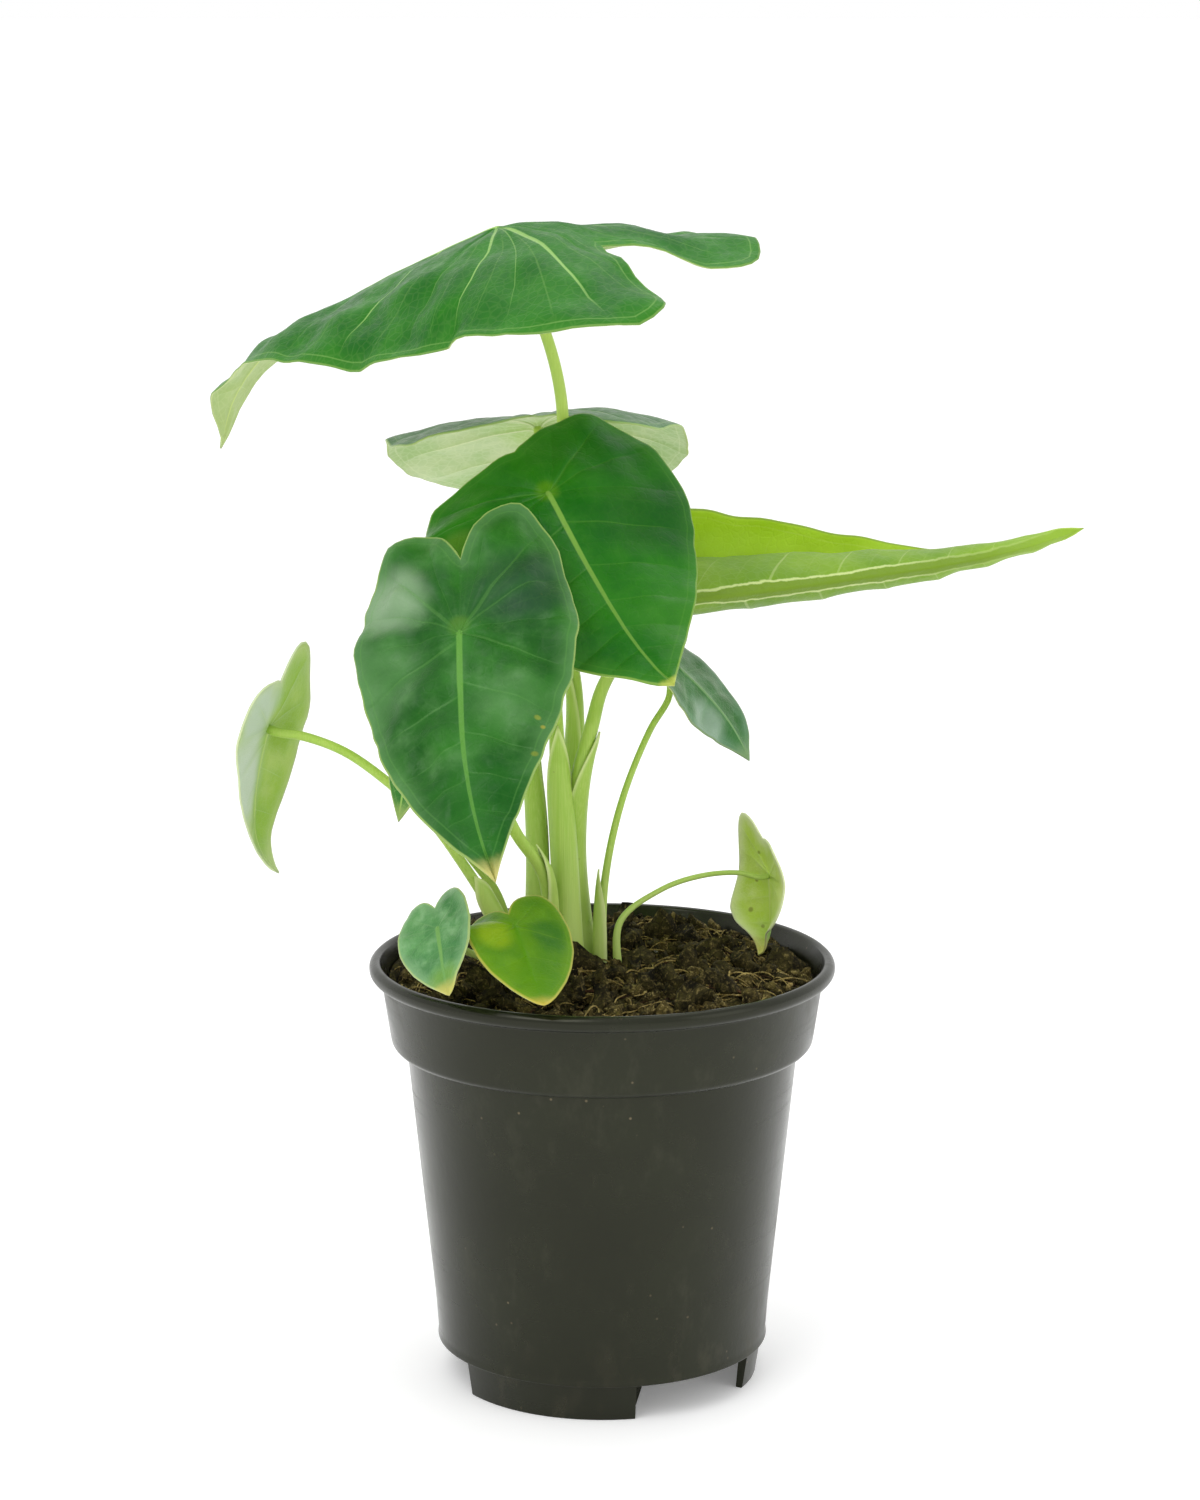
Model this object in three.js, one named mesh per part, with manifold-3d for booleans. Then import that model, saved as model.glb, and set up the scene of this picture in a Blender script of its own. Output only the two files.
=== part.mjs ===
// Potted frydek alocasia: a black nursery pot, its soil, a rootstock and eleven leaves on stems.
// Millimetres, +Z up. Everything is first placed from the pot's own axis at the floor, with +X to the
// right and -Y to the front, and the whole group is then moved so that the middle of the base of its
// box is the origin.
import * as THREE from 'three';
import { mergeVertices } from 'three/addons/utils/BufferGeometryUtils.js';
import Module from 'manifold-3d';

const wasm = await Module();
wasm.setup();

// Clearance kept between pieces that touch
const GAP = 0.3;
// The same, set a little wider where both sides are many-sided: in the soil's hollows and under a blade
const HOLLOW_GAP = 0.36;
const BLADE_GAP = 0.55;

// Pot: a 12 cm nursery pot, 11 cm high
const POT_HEIGHT = 110.8;
const LIP_RADIUS = 60;
const BAND_TOP_RADIUS = 57;
const BAND_LOW_RADIUS = 54.8;
const BAND_LOW_Z = 88.4;
const BODY_TOP_RADIUS = 50.6;
const BODY_LOW_RADIUS = 43.5;
const BODY_LOW_Z = 20;
const WALL = 1.6;
const FLOOR_Z = 9.8;
const FLOOR_THICKNESS = 2;
const FOOT_RADIUS = 40.3;
const FOOT_WALL = 1.8;
const FOOT_COUNT = 3;
const FOOT_ARC_DEG = 68;
const FIRST_FOOT_DEG = -112; // middle of the front foot, from +X towards +Y
const FOOT_GAP_HEIGHT = 9.2;
const DRAIN_COUNT = 5;
const DRAIN_RADIUS = 3.5;
const DRAIN_CIRCLE = 27;
const POT_SEGMENTS = 48;

// Soil: its level in the middle and where it meets the wall, by bearing from +X towards +Y
const SOIL_BOTTOM_Z = 12.1;
const SOIL_MIDDLE_Z = 108.6;
const SOIL_EDGE_LEVELS = [[0, 104.6], [90, 108], [165, 106.4], [228, 103.6], [300, 108.4]];
const SOIL_LUMP = 0.9;

// Rootstock inside the soil: a squat corm under the stems, with main roots
const CORM_X = -9;
const CORM_Y = -1;
const CORM_TOP_Z = 97.7;
const CORM_RADIUS = 17;
const CORM_HEIGHT = 24;
const ROOT_COUNT = 5;
const ROOT_REACH = 22;
const ROOT_RADIUS = 1.7;

// Stems start just above the corm
const STEM_FOOT_Z = CORM_TOP_Z + GAP;
const STEM_SIDES = 8;

// Leaf blades
const BLADE_THICKNESS = 0.8;
const MIDRIB_HEIGHT = 1.1;
const SIDE_RIB_HEIGHT = 0.5;
const VEIN_SWEEP = 0.2; // how far a side vein runs forward to the margin, as a part of the length
const NECK = 0.28; // how wide the blade stays shortly before its tip, as a part of its half width
const SINUS = 0.1; // how far the lobes stand apart by the notch, as a part of the half width

// One entry per leaf. junction is where the stem meets the blade. heading is the bearing of the tip,
// pitch its slope and roll the turn about the midrib, all at the junction and in degrees. bend, hook,
// sway and twist change them towards the tip. Pairs are [right half, left half], seen from above with
// the tip ahead: fold lifts a half from the midrib, curl bends it on towards the margin, close folds it
// more towards the tip and lobeFold behind the junction. lobeBend turns the lobes down. length runs
// from the junction to the tip, lobe and notch back from it, halfWidth to the margin. lobeReach says
// how far out the lobe's end lies, widest how far forward the widest place is. leftLobe, rightLobe and
// leftWidth scale one half, and sinus and leftNeck replace SINUS and NECK. stem holds the points of the
// stem's centre line above its foot, and radii are at its foot and at the blade.
const LEAVES = {
  leaf_top: {
    junction: [-26.3, 8, 296.4], heading: 149, pitch: -22, roll: -4, bend: -8, hook: -54, sway: -7, twist: 3,
    fold: [-10, -12], curl: [-7, -38], close: [25, 19], lobeFold: [17, 15], lobeBend: 42,
    length: 109.5, halfWidth: 51.5, lobe: 60, notch: 31.5, lobeReach: 0.49, widest: 0,
    leftLobe: 1.08, leftWidth: 1.0, sinus: 0.3, wave: 1.2, fine: true, colour: 0x2f6b34,
    foot: [-11.2, 5.5], radii: [2.8, 1.5],
    stem: [[-8.3, 10, 142.9], [-6.9, 10.5, 179.5], [-12.5, 13, 205], [-12, 14.5, 228], [-10.1, 15, 249.3],
      [-14.6, 13, 270.6]],
  },
  leaf_back: {
    junction: [-16.9, 46, 243.1], heading: 84, pitch: -32, roll: -6, bend: 3, hook: -10, sway: -1, twist: 2,
    fold: [10, 7], curl: [-35, -18], close: [9, 9], lobeFold: [-6, -7], lobeBend: 29,
    length: 76, halfWidth: 39.5, lobe: 31.5, notch: 14.5, lobeReach: 0.58, widest: 0.12,
    leftLobe: 1.02, leftWidth: 1.04, wave: 0.6, fine: true, colour: 0x3c7440,
    foot: [-16.5, 1.5], radii: [2.6, 1.3],
    stem: [[-16.5, 3.5, 141.2], [-17.5, 6, 159.1], [-20, 13, 188.8], [-20, 26, 215.6]],
  },
  leaf_centre: {
    junction: [-13.4, -13, 232.4], heading: -52, pitch: -50, roll: 29, bend: 18, hook: 18, sway: 7, twist: -8,
    fold: [-8, -6], curl: [22, -23], close: [6, 4], lobeFold: [-17, 0], lobeBend: 21,
    length: 67.5, halfWidth: 35, lobe: 20, notch: 16.5, lobeReach: 0.55, widest: 0.1,
    leftLobe: 1.07, leftWidth: 1.0, wave: 0.6, fine: true, colour: 0x2c7d2c,
    foot: [-8.5, -2.5], radii: [2.9, 1.6],
    stem: [[-9.8, -2, 139.3], [-11.3, -2, 162.8], [-12.5, -2, 193.6], [-13.4, -3, 216]],
  },
  leaf_front: {
    junction: [-34.1, -51, 203.5], heading: -88, pitch: -55, roll: 10, bend: 12, hook: -8, sway: -32,
    twist: 7,
    fold: [-9, 5], curl: [-13, -26], close: [1, 4], lobeFold: [-5, -9], lobeBend: 9,
    length: 67, halfWidth: 27.5, lobe: 32.5, notch: 22, lobeReach: 0.47, widest: 0,
    leftLobe: 1.16, leftWidth: 1.02, wave: 0.8, fine: true, colour: 0x3f6f52,
    foot: [-14, -4.2], radii: [2.5, 1.4],
    stem: [[-14.5, -9, 133.1], [-22, -17, 147.7], [-29.1, -28, 167.5], [-33.6, -39, 187]],
  },
  leaf_young: {
    junction: [18.7, 0, 203.2], heading: 15, pitch: 4, roll: -69, bend: 4, hook: 12, sway: 7, twist: -11,
    fold: [60, 20], curl: [76, 97], close: [4, 2], lobeFold: [-20, 0], lobeBend: 0, rolled: true,
    length: 110, halfWidth: 28.5, lobe: 22, notch: 12, lobeReach: 0.5, widest: -0.02,
    leftLobe: 1.0, leftWidth: 1.78, leftNeck: 0.1, wave: 0, fine: true, colour: 0x93bf24,
    foot: [-5, 3.6], radii: [2.8, 1.6],
    stem: [[-7.5, 3.2, 138.1], [-6.2, 0, 155.9], [-2.6, -1, 171.7], [0.5, 0, 182.1], [9.6, -3, 195.5]],
  },
  leaf_dark: {
    junction: [19.5, 2, 185.9], heading: 3, pitch: -42, roll: 19, bend: -19, hook: -9, sway: 7, twist: 26,
    fold: [-8, -7], curl: [22, 0], close: [-5, -2], lobeFold: [4, 2], lobeBend: -4,
    length: 30.5, halfWidth: 15.5, lobe: 10.5, notch: 5.5, lobeReach: 0.5, widest: 0.02,
    leftLobe: 1.0, leftWidth: 1.0, wave: 0.3, fine: false, colour: 0x2f5a3c,
    foot: [-0.5, -1.5], radii: [2.4, 1.0],
    stem: [[0.7, -1, 131.2], [5.1, 0, 152], [12.2, 2, 169.8], [17, 3, 178]],
  },
  leaf_left: {
    junction: [-84.3, -12, 173], heading: 167, pitch: -72, roll: 5, bend: -26, hook: -52, sway: 1, twist: -7,
    fold: [-8, -7], curl: [-6, 13], close: [-17, -18], lobeFold: [11, -3], lobeBend: -1,
    length: 40, halfWidth: 18.5, lobe: 22, notch: 12.5, lobeReach: 0.49, widest: 0,
    leftLobe: 0.64, leftWidth: 1.0, wave: 0.3, fine: false, colour: 0x86b26a,
    foot: [-20, -3.5], radii: [2.9, 1.4],
    stem: [[-27.7, -6, 123.7], [-36.1, -9, 138.3], [-43.6, -11, 149.1], [-52.8, -12, 158.1],
      [-64.7, -13, 167.1], [-75.4, -13, 171.2]],
  },
  leaf_hidden: {
    junction: [-47.2, -18, 170.2], heading: -120, pitch: -65, roll: 0, bend: -8, hook: 0, sway: 0, twist: 0,
    fold: [-6, -6], curl: [-10, -10], close: [0, 0], lobeFold: [0, 0], lobeBend: 10,
    length: 20, halfWidth: 7.8, lobe: 9, notch: 5.5, lobeReach: 0.5, widest: 0,
    leftLobe: 1.0, leftWidth: 1.0, wave: 0, fine: false, colour: 0x35703a,
    foot: [-22, 2.8], radii: [2.0, 1.1],
    stem: [[-27.1, 1, 126.8], [-35.3, -4, 140.2], [-43, -9, 155.2]],
  },
  leaf_rim_left: {
    junction: [-40.4, -42, 128.5], heading: -81, pitch: -33, roll: 33, bend: 2, hook: 9, sway: -2, twist: 2,
    fold: [0, 7], curl: [4, 6], close: [-2, 1], lobeFold: [-5, -4], lobeBend: 3,
    length: 23, halfWidth: 11, lobe: 11.3, notch: 7.2, lobeReach: 0.46, widest: 0.08,
    leftLobe: 0.98, leftWidth: 0.89, wave: 0.3, fine: false, colour: 0x4c8560,
    foot: [-15.5, -9.8], radii: [1.8, 0.9],
    stem: [[-23.4, -16, 112.6], [-31.1, -26, 117.5], [-35.8, -34, 122]],
  },
  leaf_rim_centre: {
    junction: [-21.5, -40, 128.5], heading: -68, pitch: -38, roll: 6, bend: 8, hook: 33, sway: 13, twist: -3,
    fold: [-1, -2], curl: [15, -13], close: [0, -5], lobeFold: [-39, 6], lobeBend: 19,
    length: 29, halfWidth: 13, lobe: 11, notch: 5, lobeReach: 0.6, widest: 0.12,
    leftLobe: 1.04, leftWidth: 1.05, wave: 0.3, fine: false, colour: 0x6fa51f,
    foot: [-10, -9], radii: [1.8, 0.9],
    stem: [[-13.8, -15, 113.1], [-18.1, -26, 118.4]],
  },
  leaf_rim_right: {
    junction: [43.8, 10, 129.9], heading: 31, pitch: -85, roll: 3, bend: -16, hook: -49, sway: -11, twist: -3,
    fold: [-14, -12], curl: [0, -7], close: [-53, -56], lobeFold: [3, 15], lobeBend: 18,
    length: 22.3, halfWidth: 11.8, lobe: 16.8, notch: 10.4, lobeReach: 0.48, widest: 0.35,
    leftLobe: 1.0, rightLobe: 0.68, leftWidth: 1.02, wave: 0, fine: false, colour: 0x9cc558,
    foot: [4.2, -3.2], radii: [2.0, 0.8],
    stem: [[4.6, -2, 120.4], [14.9, 2, 127.8], [25.3, 6, 130.6], [35.2, 8, 131]],
  },
};

const STEM_COLOUR = 0xa5c34b;

const rad = THREE.MathUtils.degToRad;
const clamp01 = (value) => Math.min(1, Math.max(0, value));
const smooth = (value) => value * value * (3 - 2 * value);

// Closed triangle mesh from points and faces; faces that close up to a line are left out
function closedGeometry(points, faces) {
  const geometry = new THREE.BufferGeometry();
  geometry.setAttribute('position', new THREE.Float32BufferAttribute(points.flatMap((p) => p.toArray()), 3));
  const kept = faces.filter(([a, b, c]) => a !== b && b !== c && c !== a);
  geometry.setIndex(kept.flat());
  return facingOut(geometry);
}

// Turns every face over when the mesh encloses a negative volume
function facingOut(geometry) {
  const position = geometry.attributes.position;
  const index = Array.from(geometry.index.array);
  const [a, b, c] = [new THREE.Vector3(), new THREE.Vector3(), new THREE.Vector3()];
  let volume = 0;
  for (let i = 0; i < index.length; i += 3) {
    a.fromBufferAttribute(position, index[i]);
    b.fromBufferAttribute(position, index[i + 1]);
    c.fromBufferAttribute(position, index[i + 2]);
    volume += a.dot(b.cross(c));
  }
  if (volume < 0) {
    for (let i = 0; i < index.length; i += 3) {
      [index[i + 1], index[i + 2]] = [index[i + 2], index[i + 1]];
    }
    geometry.setIndex(index);
  }
  return geometry;
}

// A lathe or extrusion with its shared vertices merged, standing along +Z
function welded(source) {
  source.deleteAttribute('normal');
  source.deleteAttribute('uv');
  const merged = mergeVertices(source, 1e-4);
  const index = merged.index.array;
  const kept = [];
  for (let i = 0; i < index.length; i += 3) {
    const face = [index[i], index[i + 1], index[i + 2]];
    if (new Set(face).size === 3) kept.push(...face);
  }
  merged.setIndex(kept);
  return facingOut(merged);
}

function lathe(profile, segments) {
  const points = profile.map(([radius, z]) => new THREE.Vector2(radius, z));
  return welded(new THREE.LatheGeometry(points, segments).rotateX(Math.PI / 2));
}

function toSolid(geometry) {
  return new wasm.Manifold(new wasm.Mesh({
    numProp: 3,
    vertProperties: new Float32Array(geometry.attributes.position.array),
    triVerts: new Uint32Array(geometry.index.array),
  }));
}

function fromSolid(solid) {
  const mesh = solid.getMesh();
  const geometry = new THREE.BufferGeometry();
  geometry.setAttribute('position', new THREE.BufferAttribute(mesh.vertProperties, 3));
  geometry.setIndex(new THREE.BufferAttribute(mesh.triVerts, 1));
  return geometry;
}

// Round tube of changing radius along a curve, closed at both ends, which reach past it by extend
function taperedTube(curve, radiusAt, steps, sides, extend) {
  const frames = curve.computeFrenetFrames(steps, false);
  const points = [];
  const faces = [];
  for (let i = 0; i <= steps; i += 1) {
    const past = { 0: -extend, [steps]: extend }[i] ?? 0;
    const centre = curve.getPointAt(i / steps).addScaledVector(frames.tangents[i], past);
    const radius = radiusAt(i / steps);
    for (let j = 0; j < sides; j += 1) {
      const angle = (2 * Math.PI * j) / sides;
      points.push(centre.clone()
        .addScaledVector(frames.normals[i], radius * Math.cos(angle))
        .addScaledVector(frames.binormals[i], radius * Math.sin(angle)));
    }
  }
  for (let i = 0; i < steps; i += 1) {
    for (let j = 0; j < sides; j += 1) {
      const a = i * sides + j;
      const b = i * sides + ((j + 1) % sides);
      faces.push([a, b, b + sides], [a, b + sides, a + sides]);
    }
  }
  for (let j = 1; j < sides - 1; j += 1) {
    faces.push([0, j + 1, j], [steps * sides, steps * sides + j, steps * sides + j + 1]);
  }
  return closedGeometry(points, faces);
}

// Pot: outline of half its section, from the axis out under the floor, up outside and down inside
function potProfile() {
  const inside = (radius) => radius - WALL;
  const floorTop = FLOOR_Z + FLOOR_THICKNESS;
  return [
    [0, FLOOR_Z], [FOOT_RADIUS - FOOT_WALL + 0.9, FLOOR_Z], [FOOT_RADIUS - FOOT_WALL, 0], [FOOT_RADIUS, 0],
    [FOOT_RADIUS + 1.5, FLOOR_Z - 0.2], [FOOT_RADIUS + 2.8, FLOOR_Z - 0.2],
    [FOOT_RADIUS + 2.6, FLOOR_Z + 1.8], [BODY_LOW_RADIUS, BODY_LOW_Z], [BODY_TOP_RADIUS, BAND_LOW_Z],
    [BAND_LOW_RADIUS - 1.5, BAND_LOW_Z], [BAND_LOW_RADIUS - 0.4, BAND_LOW_Z + 1.1],
    [BAND_LOW_RADIUS, BAND_LOW_Z + 3.4], [BAND_TOP_RADIUS, POT_HEIGHT - 4.4],
    [LIP_RADIUS - 1, POT_HEIGHT - 4.2], [LIP_RADIUS, POT_HEIGHT - 3], [LIP_RADIUS, POT_HEIGHT - 1.2],
    [LIP_RADIUS - 1.2, POT_HEIGHT], [LIP_RADIUS - 2.6, POT_HEIGHT - 0.3],
    [LIP_RADIUS - 3.1, POT_HEIGHT - 1.4], [inside(BAND_TOP_RADIUS), POT_HEIGHT - 4.6],
    [inside(BAND_LOW_RADIUS), BAND_LOW_Z + 3.7],
    [inside(BAND_LOW_RADIUS) - 1.6, BAND_LOW_Z + 1.8], [inside(BODY_TOP_RADIUS), BAND_LOW_Z + 1.6],
    [inside(BODY_LOW_RADIUS), BODY_LOW_Z], [inside(BODY_LOW_RADIUS) - 1.3, floorTop], [0, floorTop],
  ];
}

// Wedge that cuts the foot ring open between two feet
function footGapCutter(middleDeg) {
  const half = (360 / FOOT_COUNT - FOOT_ARC_DEG) / 2;
  const shape = new THREE.Shape();
  shape.moveTo(30 * Math.cos(rad(middleDeg)), 30 * Math.sin(rad(middleDeg)));
  for (const offset of [-half, -half / 2, 0, half / 2, half]) {
    const angle = rad(middleDeg + offset);
    if (offset === -half) shape.lineTo(32 * Math.cos(angle), 32 * Math.sin(angle));
    shape.lineTo(50 * Math.cos(angle), 50 * Math.sin(angle));
    if (offset === half) shape.lineTo(32 * Math.cos(angle), 32 * Math.sin(angle));
  }
  const depth = FOOT_GAP_HEIGHT + 5;
  const cutter = new THREE.ExtrudeGeometry(shape, { depth, bevelEnabled: false, steps: 1 });
  return toSolid(welded(cutter.translate(0, 0, -5)));
}

function drainCutter(angle) {
  const hole = new THREE.CylinderGeometry(DRAIN_RADIUS, DRAIN_RADIUS, 8, 10).rotateX(Math.PI / 2);
  hole.translate(DRAIN_CIRCLE * Math.cos(angle), DRAIN_CIRCLE * Math.sin(angle), FLOOR_Z + 1);
  return toSolid(welded(hole));
}

function makePot() {
  let pot = toSolid(lathe(potProfile(), POT_SEGMENTS));
  for (let i = 0; i < FOOT_COUNT; i += 1) {
    pot = pot.subtract(footGapCutter(FIRST_FOOT_DEG + (i + 0.5) * (360 / FOOT_COUNT)));
  }
  for (let i = 0; i < DRAIN_COUNT; i += 1) {
    pot = pot.subtract(drainCutter((2 * Math.PI * (i + 0.25)) / DRAIN_COUNT));
  }
  return fromSolid(pot);
}

// Level of the soil where it meets the wall, at a bearing in radians
function soilEdgeLevel(bearing) {
  const angle = THREE.MathUtils.euclideanModulo(THREE.MathUtils.radToDeg(bearing), 360);
  const count = SOIL_EDGE_LEVELS.length;
  for (let i = 0; i < count; i += 1) {
    const [from, low] = SOIL_EDGE_LEVELS[i];
    const [to, high] = i + 1 < count ? SOIL_EDGE_LEVELS[i + 1] : [360, SOIL_EDGE_LEVELS[0][1]];
    if (angle >= from && angle <= to) return low + (high - low) * smooth((angle - from) / (to - from));
  }
  return SOIL_MIDDLE_Z;
}

function soilLump(x, y) {
  return SOIL_LUMP * (Math.sin(0.21 * x + 1.3) * Math.sin(0.19 * y + 0.4)
    + 0.6 * Math.sin(0.42 * x - 0.31 * y) + 0.4 * Math.sin(0.55 * y + 0.35 * x + 2));
}

// Radius of the soil against the band's inside at a height
function soilEdgeRadius(z) {
  const low = BAND_LOW_Z + 3.7;
  const high = POT_HEIGHT - 4.6;
  const lowRadius = BAND_LOW_RADIUS - WALL;
  const slope = (BAND_TOP_RADIUS - BAND_LOW_RADIUS) / (high - low);
  return lowRadius + (z - low) * slope - GAP;
}

function makeSoil() {
  const points = [new THREE.Vector3(0, 0, SOIL_MIDDLE_Z + soilLump(0, 0))];
  const faces = [];
  const rings = [0.2, 0.4, 0.6, 0.78, 0.92, 1];
  const lowInside = BODY_LOW_RADIUS - WALL - GAP;
  const side = [
    [BAND_LOW_RADIUS - WALL - GAP, BAND_LOW_Z + 3.9],
    [BAND_LOW_RADIUS - WALL - 1.8 - GAP, BAND_LOW_Z + 2.2],
    [BODY_TOP_RADIUS - WALL - GAP, BAND_LOW_Z + 1.9], [lowInside, BODY_LOW_Z],
    [lowInside - 1.5, SOIL_BOTTOM_Z],
  ];
  const rows = rings.length + side.length;
  for (let i = 0; i < rows; i += 1) {
    for (let j = 0; j < POT_SEGMENTS; j += 1) {
      const bearing = (2 * Math.PI * j) / POT_SEGMENTS;
      const edgeLevel = soilEdgeLevel(bearing);
      let radius;
      let z;
      if (i < rings.length) {
        radius = rings[i] * soilEdgeRadius(edgeLevel);
        const x = radius * Math.cos(bearing);
        const y = radius * Math.sin(bearing);
        const fade = 1 - rings[i] ** 6;
        z = SOIL_MIDDLE_Z + (edgeLevel - SOIL_MIDDLE_Z) * rings[i] ** 2 + soilLump(x, y) * fade;
      } else {
        [radius, z] = side[i - rings.length];
      }
      points.push(new THREE.Vector3(radius * Math.cos(bearing), radius * Math.sin(bearing), z));
    }
  }
  points.push(new THREE.Vector3(0, 0, SOIL_BOTTOM_Z));
  const at = (i, j) => 1 + i * POT_SEGMENTS + (j % POT_SEGMENTS);
  for (let j = 0; j < POT_SEGMENTS; j += 1) {
    faces.push([0, at(0, j), at(0, j + 1)]);
    for (let i = 0; i < rows - 1; i += 1) {
      faces.push([at(i, j), at(i + 1, j), at(i + 1, j + 1)], [at(i, j), at(i + 1, j + 1), at(i, j + 1)]);
    }
    faces.push([at(rows - 1, j), points.length - 1, at(rows - 1, j + 1)]);
  }
  return closedGeometry(points, faces);
}

// Corm and its main roots, larger by grow on every side when it is used as the hollow for itself
function makeRootstock(grow) {
  const bottom = CORM_TOP_Z - CORM_HEIGHT;
  const profile = [
    [0, bottom - grow], [0.5 * CORM_RADIUS, bottom + 1 - grow], [0.8 * CORM_RADIUS, bottom + 7 - grow],
    [CORM_RADIUS, bottom + 16], [CORM_RADIUS, CORM_TOP_Z + grow], [0, CORM_TOP_Z + grow],
  ].map(([radius, z]) => [radius > 0 ? radius + grow : 0, z]);
  let solid = toSolid(lathe(profile, 18).translate(CORM_X, CORM_Y, 0));
  for (let i = 0; i < ROOT_COUNT; i += 1) {
    const angle = (2 * Math.PI * (i + 0.3)) / ROOT_COUNT;
    const out = (distance, z) => new THREE.Vector3(CORM_X + distance * Math.cos(angle),
      CORM_Y + distance * Math.sin(angle), z);
    const drop = 8 * (i % 3);
    const curve = new THREE.CatmullRomCurve3([out(8, bottom + 10), out(0.8 * ROOT_REACH, bottom + 4),
      out(ROOT_REACH, bottom - 14), out(ROOT_REACH + 3, bottom - 34 - drop)]);
    solid = solid.add(toSolid(taperedTube(curve, (s) => ROOT_RADIUS * (1 - 0.6 * s) + grow, 5, 6, grow)));
  }
  return solid;
}

// Flat outline of one half of a blade, from the notch round the lobe to the tip
function halfOutline(leaf, left) {
  const width = leaf.halfWidth * (left ? leaf.leftWidth : 1);
  const lobe = leaf.lobe * (left ? leaf.leftLobe : leaf.rightLobe ?? 1);
  const sinus = (leaf.sinus ?? SINUS) * width;
  const reach = leaf.lobeReach * width;
  const wideY = leaf.widest * leaf.length;
  const neck = (left && leaf.leftNeck) || NECK;
  const v = (x, y) => new THREE.Vector2(x, y);
  const counts = leaf.fine ? [5, 5, 13] : [3, 3, 7];
  const curves = [
    new THREE.CubicBezierCurve(v(0, -leaf.notch), v(sinus, -leaf.notch - 0.55 * (lobe - leaf.notch)),
      v(0.5 * reach, -lobe), v(reach, -lobe)),
    new THREE.CubicBezierCurve(v(reach, -lobe), v(reach + 0.58 * (width - reach), -lobe),
      v(width, wideY - 0.55 * (wideY + lobe)), v(width, wideY)),
    new THREE.CubicBezierCurve(v(width, wideY), v(width, wideY + 0.38 * (leaf.length - wideY)),
      v(neck * width, 0.8 * leaf.length), v(0, leaf.length)),
  ];
  const points = [v(0, -leaf.notch)];
  curves.forEach((curve, k) => {
    for (let i = 1; i <= counts[k]; i += 1) points.push(curve.getPoint(i / counts[k]));
  });
  const wideAt = counts[0] + counts[1];
  const veins = [counts[0], wideAt];
  for (let i = wideAt + (leaf.fine ? 3 : 2); i < points.length - 2; i += leaf.fine ? 3 : 2) veins.push(i);
  return { points, veins };
}

// Midrib in space: position, forward, up and right at stations along it, by y from -1.15 lobe to length
function midribFrames(leaf) {
  const count = 61;
  const first = -1.15 * leaf.lobe;
  const step = (leaf.length - first) / (count - 1);
  const heading = rad(leaf.heading);
  const ahead = new THREE.Vector3(Math.cos(heading), Math.sin(heading), 0);
  const up = new THREE.Vector3(0, 0, 1);
  const side = ahead.clone().cross(up);
  const frames = [];
  for (let i = 0; i < count; i += 1) {
    const y = first + i * step;
    const part = clamp01(y / leaf.length);
    const hooked = clamp01((part - 0.55) / 0.45) ** 1.5;
    const back = smooth(clamp01((0.12 * leaf.length - y) / (0.12 * leaf.length + 0.6 * leaf.lobe)));
    const pitch = rad(leaf.pitch + leaf.bend * part + leaf.hook * hooked + leaf.lobeBend * back);
    const sway = rad(leaf.sway * part * part);
    const roll = rad(leaf.roll + leaf.twist * part);
    const level = ahead.clone().multiplyScalar(Math.cos(sway)).addScaledVector(side, Math.sin(sway));
    const forward = level.clone().multiplyScalar(Math.cos(pitch)).addScaledVector(up, Math.sin(pitch));
    const normal = level.clone().multiplyScalar(-Math.sin(pitch)).addScaledVector(up, Math.cos(pitch));
    const right = forward.clone().cross(normal);
    const turnedNormal = normal.clone().multiplyScalar(Math.cos(roll)).addScaledVector(right, Math.sin(roll));
    const turnedRight = right.clone().multiplyScalar(Math.cos(roll)).addScaledVector(normal, -Math.sin(roll));
    const place = new THREE.Vector3();
    if (i > 0) {
      const last = frames[i - 1];
      place.copy(last.place).addScaledVector(forward, step / 2).addScaledVector(last.forward, step / 2);
    }
    frames.push({ place, forward, normal: turnedNormal, right: turnedRight });
  }
  const mix = (key, y) => {
    const where = THREE.MathUtils.clamp((y - first) / step, 0, count - 1 - 1e-9);
    const i = Math.floor(where);
    return frames[i][key].clone().lerp(frames[i + 1][key], where - i);
  };
  const start = mix('place', 0);
  const junction = new THREE.Vector3(...leaf.junction);
  return {
    place: (y) => mix('place', y).sub(start).add(junction),
    normal: (y) => mix('normal', y),
    right: (y) => mix('right', y),
  };
}

// A point of the blade's middle surface: x to the right of the midrib, y along it
function bladePoint(leaf, frames, x, y) {
  const left = x < 0 ? 1 : 0;
  const across = Math.abs(x);
  const part = clamp01(y / leaf.length);
  const back = smooth(clamp01(-y / leaf.lobe));
  const open = 1 - part ** 12; // the very tip lies flat
  const fold = rad((leaf.fold[left] + leaf.close[left] * part ** 1.5) * open + leaf.lobeFold[left] * back);
  const tighter = leaf.rolled ? Math.max(0.15, 1 - part * part) : 1;
  let bend = rad(leaf.curl[left]) / leaf.halfWidth / tighter;
  if (Math.abs(bend) < 1e-6) bend = 1e-6;
  const out = (Math.sin(fold + bend * across) - Math.sin(fold)) / bend;
  const rise = (Math.cos(fold) - Math.cos(fold + bend * across)) / bend;
  return frames.place(y)
    .addScaledVector(frames.right(y), left ? -out : out)
    .addScaledVector(frames.normal(y), rise);
}

function bladeNormal(leaf, frames, x, y) {
  const h = 0.5;
  const acrossStep = bladePoint(leaf, frames, x + h, y).sub(bladePoint(leaf, frames, x - h, y));
  const alongStep = bladePoint(leaf, frames, x, y + h).sub(bladePoint(leaf, frames, x, y - h));
  return acrossStep.cross(alongStep).normalize();
}

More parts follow.
